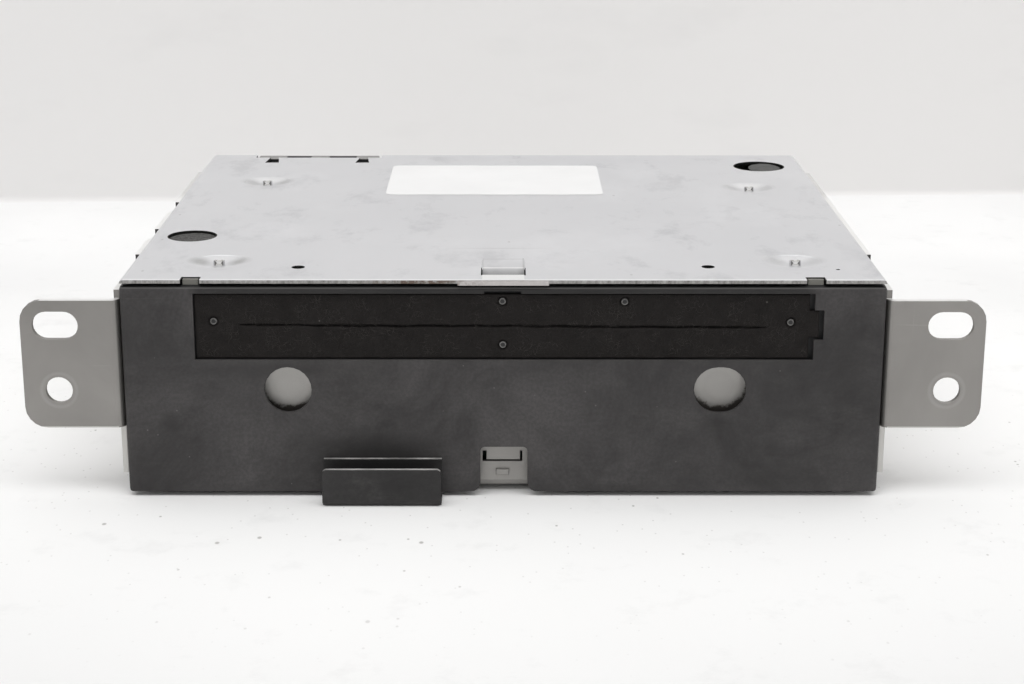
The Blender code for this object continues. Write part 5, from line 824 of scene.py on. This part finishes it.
def make_felt():
    """Felt with a matted face, a slit that stands slightly open and dimples round the pins."""
    low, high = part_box("felt_seal")
    tab_low, tab_high = 38.7 * MM, 45.2 * MM
    body_right = 70.7 * MM
    columns_x = np.linspace(low.x, high.x, 580)
    rows_z = np.concatenate(
        [
            np.linspace(low.z, 40.7 * MM, 26, endpoint=False),
            np.linspace(40.7 * MM, 42.5 * MM, 26, endpoint=False),
            np.linspace(42.5 * MM, high.z, 28),
        ]
    )
    x, z = np.meshgrid(columns_x, rows_z)
    ruffle = waviness(x, z, 5)
    coarse = waviness(x, z, 8, 14, 4 * MM, 30 * MM)
    y = np.full_like(x, low.y) - ruffle * 0.09 * MM - coarse * 0.06 * MM
    line = SLIT_Z + 0.16 * MM * waviness(columns_x, 0 * columns_x, 11, 12, 6 * MM, 60 * MM)
    line = line - 0.22 * MM * np.clip(columns_x / SLIT_HALF, -1, 1)
    half = 0.24 * MM + 0.11 * MM * waviness(columns_x, 0 * columns_x, 12, 14, 3 * MM, 40 * MM)
    half = np.maximum(half, 0.1 * MM) * smooth_step(SLIT_HALF - np.abs(columns_x), 0, 4 * MM)
    gap = np.abs(z - line[None, :])
    groove = 1 - smooth_step(gap, half[None, :] * 0.6, half[None, :] * 1.3 + 0.05 * MM)
    groove *= (half[None, :] > 0.03 * MM)
    lip = np.exp(-(((gap - half[None, :] - 0.5 * MM) / (0.4 * MM)) ** 2)) * (np.abs(x) < SLIT_HALF)
    y = y + groove * 0.95 * MM - lip * 0.1 * MM
    for pin_x, pin_z in PINS:
        away = np.hypot(x - pin_x * MM, z - pin_z * MM)
        y = y + (1 - smooth_step(away, 0.95 * MM, 1.3 * MM)) * 0.9 * MM
    inside = (x <= body_right) | ((z >= tab_low) & (z <= tab_high))
    y = np.minimum(y, high.y - 0.05 * MM)
    quads = grid_faces(*x.shape)
    quads = quads[inside.ravel()[quads].all(axis=1)]
    used, renumbered = np.unique(quads, return_inverse=True)
    faces = renumbered.reshape(-1, 4)
    rim, walls = rim_walls(faces, len(used))
    x, y, z = (values.ravel()[used] for values in (x, y, z))
    back = np.full(len(rim), high.y)
    axes = [np.concatenate(pair) for pair in ((x, x[rim]), (y, back), (z, z[rim]))]
    faces = np.concatenate([faces, walls])
    made = piece_of("felt_face", axes, faces, finishes["black_felt"])
    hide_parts("felt_seal")
    return low, high


def make_fibres(low, high):
    """Loose fibres lying on the felt: short bent tubes of three sides."""
    random = np.random.default_rng(21)
    count = 3200
    joints = 5
    x = random.uniform(low.x + 1 * MM, 70 * MM, count)
    z = random.uniform(low.z + 0.3 * MM, high.z - 0.3 * MM, count)
    angle = random.uniform(0, 2 * math.pi, count)
    length = random.uniform(0.7 * MM, 2.2 * MM, count)
    bend = random.uniform(-1.4, 1.4, count)
    step = np.linspace(-0.5, 0.5, joints)
    heading = angle[:, None] + bend[:, None] * step[None, :]
    along_x = x[:, None] + np.cos(heading) * length[:, None] * step[None, :]
    along_z = z[:, None] + np.sin(heading) * length[:, None] * step[None, :]
    along_x = np.clip(along_x, low.x + 0.1 * MM, 70.6 * MM)
    along_z = np.clip(along_z, low.z + 0.1 * MM, high.z - 0.1 * MM)
    lift = random.uniform(0.02 * MM, 0.16 * MM, count)[:, None] * (1 - (2 * step[None, :]) ** 2)
    along_y = low.y - 0.09 * MM - lift
    radius = random.uniform(0.012 * MM, 0.022 * MM, count)[:, None, None]
    sides = turns(3)[None, None, :]
    side_x = -np.sin(heading)[:, :, None]
    side_z = np.cos(heading)[:, :, None]
    px = along_x[:, :, None] + side_x * np.cos(sides) * radius
    pz = along_z[:, :, None] + side_z * np.cos(sides) * radius
    py = along_y[:, :, None] + np.sin(sides) * radius
    ring = np.arange(joints - 1)[:, None] * 3
    around = np.arange(3)[None, :]
    after = (around + 1) % 3
    one = np.stack([ring + around, ring + after, ring + 3 + after, ring + 3 + around], axis=-1)
    one = one.reshape(-1, 4)
    faces = (one[None, :, :] + (np.arange(count) * joints * 3)[:, None, None]).reshape(-1, 4)
    piece_of("felt_loose_fibres", (px, py, pz), faces, fibre())


# Lid details
def rounded(x, y, half_x, half_y, radius):
    """Pulls a grid's corners in to a rounded rectangle round the origin."""
    over_x = np.maximum(np.abs(x) - (half_x - radius), 0)
    over_y = np.maximum(np.abs(y) - (half_y - radius), 0)
    reach = np.hypot(over_x, over_y)
    shrink = np.where(reach > radius, radius / np.maximum(reach, 1e-9), 1)
    corner = (over_x > 0) & (over_y > 0)
    shrink = np.where(corner, shrink, 1)
    new_x = np.sign(x) * (np.minimum(np.abs(x), half_x - radius) + over_x * shrink)
    new_y = np.sign(y) * (np.minimum(np.abs(y), half_y - radius) + over_y * shrink)
    return new_x, new_y


def make_label():
    """Blank white sticker with round corners, following the lid."""
    left, right = -32.6 * MM, 27.4 * MM
    front, back = FRONT_Y + 95.0 * MM, FRONT_Y + 137.0 * MM
    half_x, half_y = (right - left) / 2, (back - front) / 2
    x, y = np.meshgrid(np.linspace(-half_x, half_x, 90), np.linspace(-half_y, half_y, 64))
    x, y = rounded(x, y, half_x, half_y, 2.2 * MM)
    x = x + (left + right) / 2
    y = y + (front + back) / 2
    z = LID_TOP + 0.05 * MM + 0.02 * MM * waviness(x, y, 4, 10, 8 * MM, 40 * MM)
    piece_of("blank_label", (x, y, z), grid_faces(*x.shape), paper())


def make_wells():
    """Dished wells in the lid, each a smooth bowl with a soft rim and a slightly uneven floor."""
    for index, (well_x, well_y) in enumerate(WELLS):
        angle, reach = np.meshgrid(turns(72),
                                   np.linspace(0.3 * MM, 8.6 * MM, 60))
        x = reach * np.cos(angle)
        y = reach * np.sin(angle)
        bowl = 1 - smooth_step(reach + 0.25 * MM * np.cos(2 * angle + index), 1.6 * MM, 7.8 * MM)
        z = LID_TOP + 0.02 * MM - 0.95 * MM * bowl
        z = z + 0.05 * MM * bowl * waviness(x, y, 30 + index, 12, 2 * MM, 12 * MM)
        axes = (x + well_x, y + well_y, z)
        faces = ring_faces(60, 72).tolist() + [list(range(72))[::-1]]
        piece_of(f"lid_well_{index}", axes, faces, lid_finish)
        make_staked_tab(index, well_x, well_y)


def make_staked_tab(index, tab_x, tab_y):
    """Upright tab with a notched waist and a spread head: squared rings, one over the other."""
    share = np.linspace(0, 1, 34)
    turn = turns(64)
    level, angle = np.meshgrid(share, turn, indexing="ij")
    waist = np.exp(-(((level - 0.5) / 0.2) ** 2))
    spread = smooth_step(level, 0.75, 1.0)
    half_x = (0.88 - 0.3 * waist + 0.1 * spread) * MM
    half_y = (0.54 - 0.04 * waist + 0.08 * spread) * MM
    squared_x = np.sign(np.cos(angle)) * np.abs(np.cos(angle)) ** 0.3
    squared_y = np.sign(np.sin(angle)) * np.abs(np.sin(angle)) ** 0.3
    x = tab_x + half_x * squared_x
    y = tab_y + half_y * squared_y
    z = LID_TOP + (-1.0 + 1.22 * level) * MM - 0.14 * MM * spread * (1 - np.abs(squared_x))
    x = x + 0.03 * MM * waviness(squared_x, level, 50 + index, 8, 0.3, 1.5)
    faces = ring_faces(34, 64).tolist() + [list(range(33 * 64, 34 * 64))]
    name = f"staked_tab_{index}"
    made = piece_of(name, (x, y, z), faces, tab_finish, False)
    rim = 0.75 * smooth_step(np.abs(squared_x), 0.7, 0.98)
    rim = np.maximum(rim, 0.7 * np.exp(-(((level - 0.93) / 0.05) ** 2)))
    rim = np.maximum(rim, 0.7 * np.exp(-(((level - 0.3) / 0.08) ** 2)))
    darken_points(made, rim)


def make_dip():
    """Strip pressed down at the lid's front: a slope, a crease, then a hollow behind the lip."""
    half = 4.85 * MM
    depth = np.concatenate(
        [np.linspace(0, 4.6, 8), np.linspace(4.78, 5.0, 8), np.linspace(5.1, 21, 130)]
    )
    x, y = np.meshgrid(np.linspace(-half, half, 60), depth * MM)
    slope = np.interp(y, np.array([0, 4.78, 4.9, 6.2]) * MM, [0, 0, 1, 1])
    hollow = 1 - smooth_step(y, 4.6 * MM, 12.4 * MM) ** 0.8
    shallow = 1 - smooth_step(y, 11.5 * MM, 20.2 * MM)
    z = -slope * (1.55 * MM * hollow + 0.22 * MM * shallow)
    crease = np.exp(-(((y - 12.1 * MM - 0.4 * MM * (x / half) ** 2) / (0.45 * MM)) ** 2))
    z = z + 0.06 * MM * crease + LID_TOP + 0.03 * MM
    faces = grid_faces(*x.shape)
    axes = (x, y + FRONT_Y, z)
    piece_of("lid_pressed_strip", axes, faces, strip_finish)


def make_hole_fillings():
    """What shows in the lid's two large holes: a speckled foam pad and a grey disc."""
    for name, centre, size, sink, finish, lean in (
        ("foam_pad", FRONT_HOLE, (5.9 * MM, 5.9 * MM), 0.4 * MM, foam(), 0.01),
        (
            "grey_disc",
            (REAR_HOLE[0] + 1.6 * MM, REAR_HOLE[1]),
            (4.6 * MM, 6.6 * MM),
            0.25 * MM,
            disc_plastic(),
            0.01,
        ),
    ):
        angle, share = np.meshgrid(turns(64), np.linspace(0.02, 1, 24))
        x = share * size[0] * np.cos(angle)
        y = share * size[1] * np.sin(angle)
        z = LID_TOP - sink + lean * x - 0.25 * MM * smooth_step(share, 0.8, 1)
        z = z + 0.05 * MM * waviness(x, y, 61, 20, 0.6 * MM, 4 * MM)
        axes = (x + centre[0], y + centre[1], z)
        faces = ring_faces(24, 64).tolist() + [list(range(64))[::-1]]
        piece_of("lid_hole_" + name, axes, faces, finish)


def make_pin_heads():
    """Moulded pin ends that stand in the felt: a pale ring round a dark hollow."""
    for index, (pin_x, pin_z) in enumerate(PINS):
        steps = np.linspace(0, 1, 26)
        turn = turns(48)
        level, angle = np.meshgrid(steps, turn, indexing="ij")
        reach = np.interp(
            level, [0, 0.3, 0.45, 0.7, 0.85, 1], [0.05, 0.4, 0.52, 0.72, 0.8, 0.8]
        ) * MM
        rise = np.interp(
            level, [0, 0.3, 0.45, 0.6, 0.85, 1], [0.5, 0.42, 0.04, 0.0, 0.12, 1.0]
        ) * MM
        x = pin_x * MM + reach * np.cos(angle) * (1 + 0.05 * np.cos(3 * angle + index))
        z = pin_z * MM + reach * np.sin(angle)
        y = FELT_FRONT + 0.2 * MM + rise
        faces = ring_faces(26, 48).tolist() + [list(range(48))[::-1]]
        name = f"seal_pin_head_{index}"
        made = piece_of(name, (x, y, z), faces, pin_finish)
        dark = 1 - smooth_step(level, 0.3, 0.5) * (1 - smooth_step(level, 0.7, 0.95))
        darken_points(made, dark)


# Screws: radius and height along the head's outline, in mm
HEAD_OUTLINE = (
    (0.05, 0), (0.6, 0), (1.0, -0.03), (1.4, -0.1), (1.8, -0.24), (2.2, -0.5),
    (2.55, -0.9), (2.7, -1.25), (2.7, -1.55), (1.3, -1.58),
)


def make_screws():
    """Pan-head screws with cross recesses, in place of the plain ones that can be seen."""
    for name in [name for name in nodes if "_screw" in name]:
        if name.startswith(("feed", "board")):
            continue
        low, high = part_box(name)
        middle = (low + high) / 2
        sideways = name.startswith("bracket")
        outward = 1 if not sideways or middle.x > 0 else -1
        axis = Vector((outward, 0, 0)) if sideways else Vector((0, 1, 0))
        tip = high if outward > 0 else low
        length = (high - low).x if sideways else (high - low).y
        base = Vector((tip.x if sideways else middle.x, middle.y if sideways else tip.y, middle.z))
        profile = np.array([*HEAD_OUTLINE, (1.25, -length / MM)]) * MM
        steps = np.linspace(0, len(profile) - 1, 90)
        radius = np.interp(steps, range(len(profile)), profile[:, 0])
        height = np.interp(steps, range(len(profile)), profile[:, 1])
        angle = turns(96)
        reach, turn = np.meshgrid(radius, angle, indexing="ij")
        rise = np.repeat(height[:, None], 96, axis=1)
        spin = 0.35 + 0.9 * (abs(base.x * 977 + base.z * 613) % 1.5)
        u = reach * np.cos(turn - spin)
        v = reach * np.sin(turn - spin)
        arm = np.minimum(np.abs(u), np.abs(v))
        far = np.maximum(np.abs(u), np.abs(v))
        cross = (
            1 - smooth_step(arm, 0.22 * MM, 0.4 * MM)
        ) * (1 - smooth_step(far, 1.15 * MM, 1.6 * MM))
        face = rise > -0.6 * MM
        rise = rise - np.where(face, 0.95 * MM * cross * (1.15 - far / (2 * MM)), 0)
        if sideways:
            x = base.x + outward * rise
            y = base.y + reach * np.cos(turn)
        else:
            x = base.x + reach * np.cos(turn)
            y = base.y + rise
        z = base.z + reach * np.sin(turn)
        faces = ring_faces(90, 96)
        if not sideways:
            faces = faces[:, ::-1]
        zinc = finishes["zinc_plate"]
        made = piece_of(name + "_head", (x, y, z), faces, zinc)
        tidy = bmesh.new()
        tidy.from_mesh(made.data)
        bmesh.ops.recalc_face_normals(tidy, faces=tidy.faces)
        tidy.to_mesh(made.data)
        tidy.free()
        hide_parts(name)


# Stage and light
WALL_TURN = 0.042
FLOOR_FRONT = (0.74, 0.74, 0.74)
FLOOR_BACK = (0.885, 0.885, 0.885)
WALL_LEFT = (0.815, 0.806, 0.802)
WALL_RIGHT = (0.825, 0.814, 0.808)


def make_stage():
    """Pale table top that meets a pale wall in a tight bend, clear from outside."""
    edge = FRONT_Y + 340 * MM
    bend = 2.5 * MM
    profile = [(-2.2, 0.0), (edge - bend, 0.0)]
    for step in range(1, 9):
        angle = math.radians(90 * step / 8)
        profile.append((edge - bend + bend * math.sin(angle), bend - bend * math.cos(angle)))
    profile.append((edge, 2.2))
    reach = 3.0
    points = [
        (side * reach, y + (WALL_TURN * side * reach if z > 0 or y > 0 else 0), z)
        for y, z in profile
        for side in (-1, 1)
    ]
    faces = [(2 * i, 2 * i + 1, 2 * i + 3, 2 * i + 2) for i in range(len(profile) - 1)]
    mesh = bpy.data.meshes.new("studio_sweep")
    mesh.from_pydata(points, [], faces)
    mesh.shade_smooth()
    graph = Graph("studio_sweep_white", roughness=0.9, specular=0.1)
    x, y, z = graph.axes()
    rise = graph.span(z, 0.05 * MM, 0.6 * MM, 0, 1)
    marks = graph.dots(46, 0.035, chance=0.35)
    blur = graph.noise(7, 3, 0.5)
    near = graph.span(y, FRONT_Y - 0.2, FRONT_Y + 0.25, 0, 1)
    floor = graph.mix(near, FLOOR_FRONT, FLOOR_BACK)
    floor = graph.blend(blur, 0.35, 0.7, 0.5, floor, toned(FLOOR_FRONT, 0.96))
    # Painted light: the floor made paler round the object, against the shadow it casts.
    beside = graph.patch((0, FRONT_Y + 70 * MM, 0), (235 * MM, 200 * MM, 1))
    floor = graph.mix(beside, floor, (0.975, 0.975, 0.97))
    floor = graph.mix(graph.times(marks, 0.12), floor, (0.6, 0.6, 0.6))
    around = graph.patch((0, FRONT_Y + 20 * MM, 0), (330 * MM, 130 * MM, 1))
    for scale, size, chance, shade in (
        (110, 0.07, 0.02, 0.7), (330, 0.13, 0.016, 0.6), (700, 0.2, 0.03, 0.3)
    ):
        crumbs = graph.dots(
            scale, size, graph.scaled((1, 0.7, 1), shift=(0.3, scale, 0)), chance, "2D"
        )
        crumbs = graph.times(crumbs, graph.times(around, shade))
        floor = graph.mix(crumbs, floor, (0.2, 0.18, 0.165))
    scuff = graph.noise(60, 8, 0.7, graph.scaled((1, 1, 0)))
    floor = graph.blend(scuff, 0.56, 0.72, 0.16, floor, (0.5, 0.5, 0.5))
    wall = graph.blend(x, -0.25, 0.25, 1, WALL_LEFT, WALL_RIGHT)
    stain = graph.noise(16, 4, 0.6, graph.scaled((1, 1, 2.2)))
    wall = graph.blend(stain, 0.56, 0.75, 0.3, wall, toned(WALL_LEFT, 0.9))
    graph.colour(graph.mix(rise, floor, wall))
    seen = graph.times(
        graph.add("ShaderNodeLightPath").outputs["Is Camera Ray"],
        graph.add("ShaderNodeNewGeometry").outputs["Backfacing"],
    )
    clear = graph.add("ShaderNodeMixShader")
    graph.feed(clear.inputs[0], seen)
    graph.feed(clear.inputs[1], graph.shader.outputs[0])
    graph.feed(clear.inputs[2], graph.add("ShaderNodeBsdfTransparent").outputs[0])
    graph.feed(graph.tree.nodes["Material Output"].inputs["Surface"], clear.outputs[0])
    mesh.materials.append(graph.material)
    sweep = bpy.data.objects.new("studio_sweep", mesh)
    bpy.context.scene.collection.objects.link(sweep)


def area_light(name, place, aim, size, power):
    """Rectangular lamp at a place, turned to its aim."""
    data = bpy.data.lights.new(name, "AREA")
    data.shape = "RECTANGLE"
    data.size, data.size_y = size
    data.energy = power
    lamp = bpy.data.objects.new(name, data)
    bpy.context.scene.collection.objects.link(lamp)
    lamp.location = place
    lamp.rotation_mode = "QUATERNION"
    lamp.rotation_quaternion = (Vector(aim) - Vector(place)).to_track_quat("-Z", "Y")


def make_light():
    """Even pale sky, one wide panel overhead and a wash on the wall."""
    world = bpy.data.worlds.new("studio_world")
    bpy.context.scene.world = world
    world.use_nodes = True
    sky = world.node_tree.nodes["Background"]
    sky.inputs["Color"].default_value = (1, 0.995, 0.985, 1)
    sky.inputs["Strength"].default_value = 0.56
    area_light("overhead_panel", (0, 0.15, 1.2), (0, 0.15, 0), (2.4, 2.0), 17.5)
    area_light("wall_wash", (0, -0.45, 1.0), (0, 0.75, 0.25), (1.8, 0.5), 3.4)


make_camera()
make_stage()
make_light()
felt_low, felt_high = make_felt()
make_fibres(felt_low, felt_high)
make_label()
make_wells()
make_dip()
make_hole_fillings()
make_pin_heads()
make_screws()

bpy.context.scene.view_settings.view_transform = "Standard"
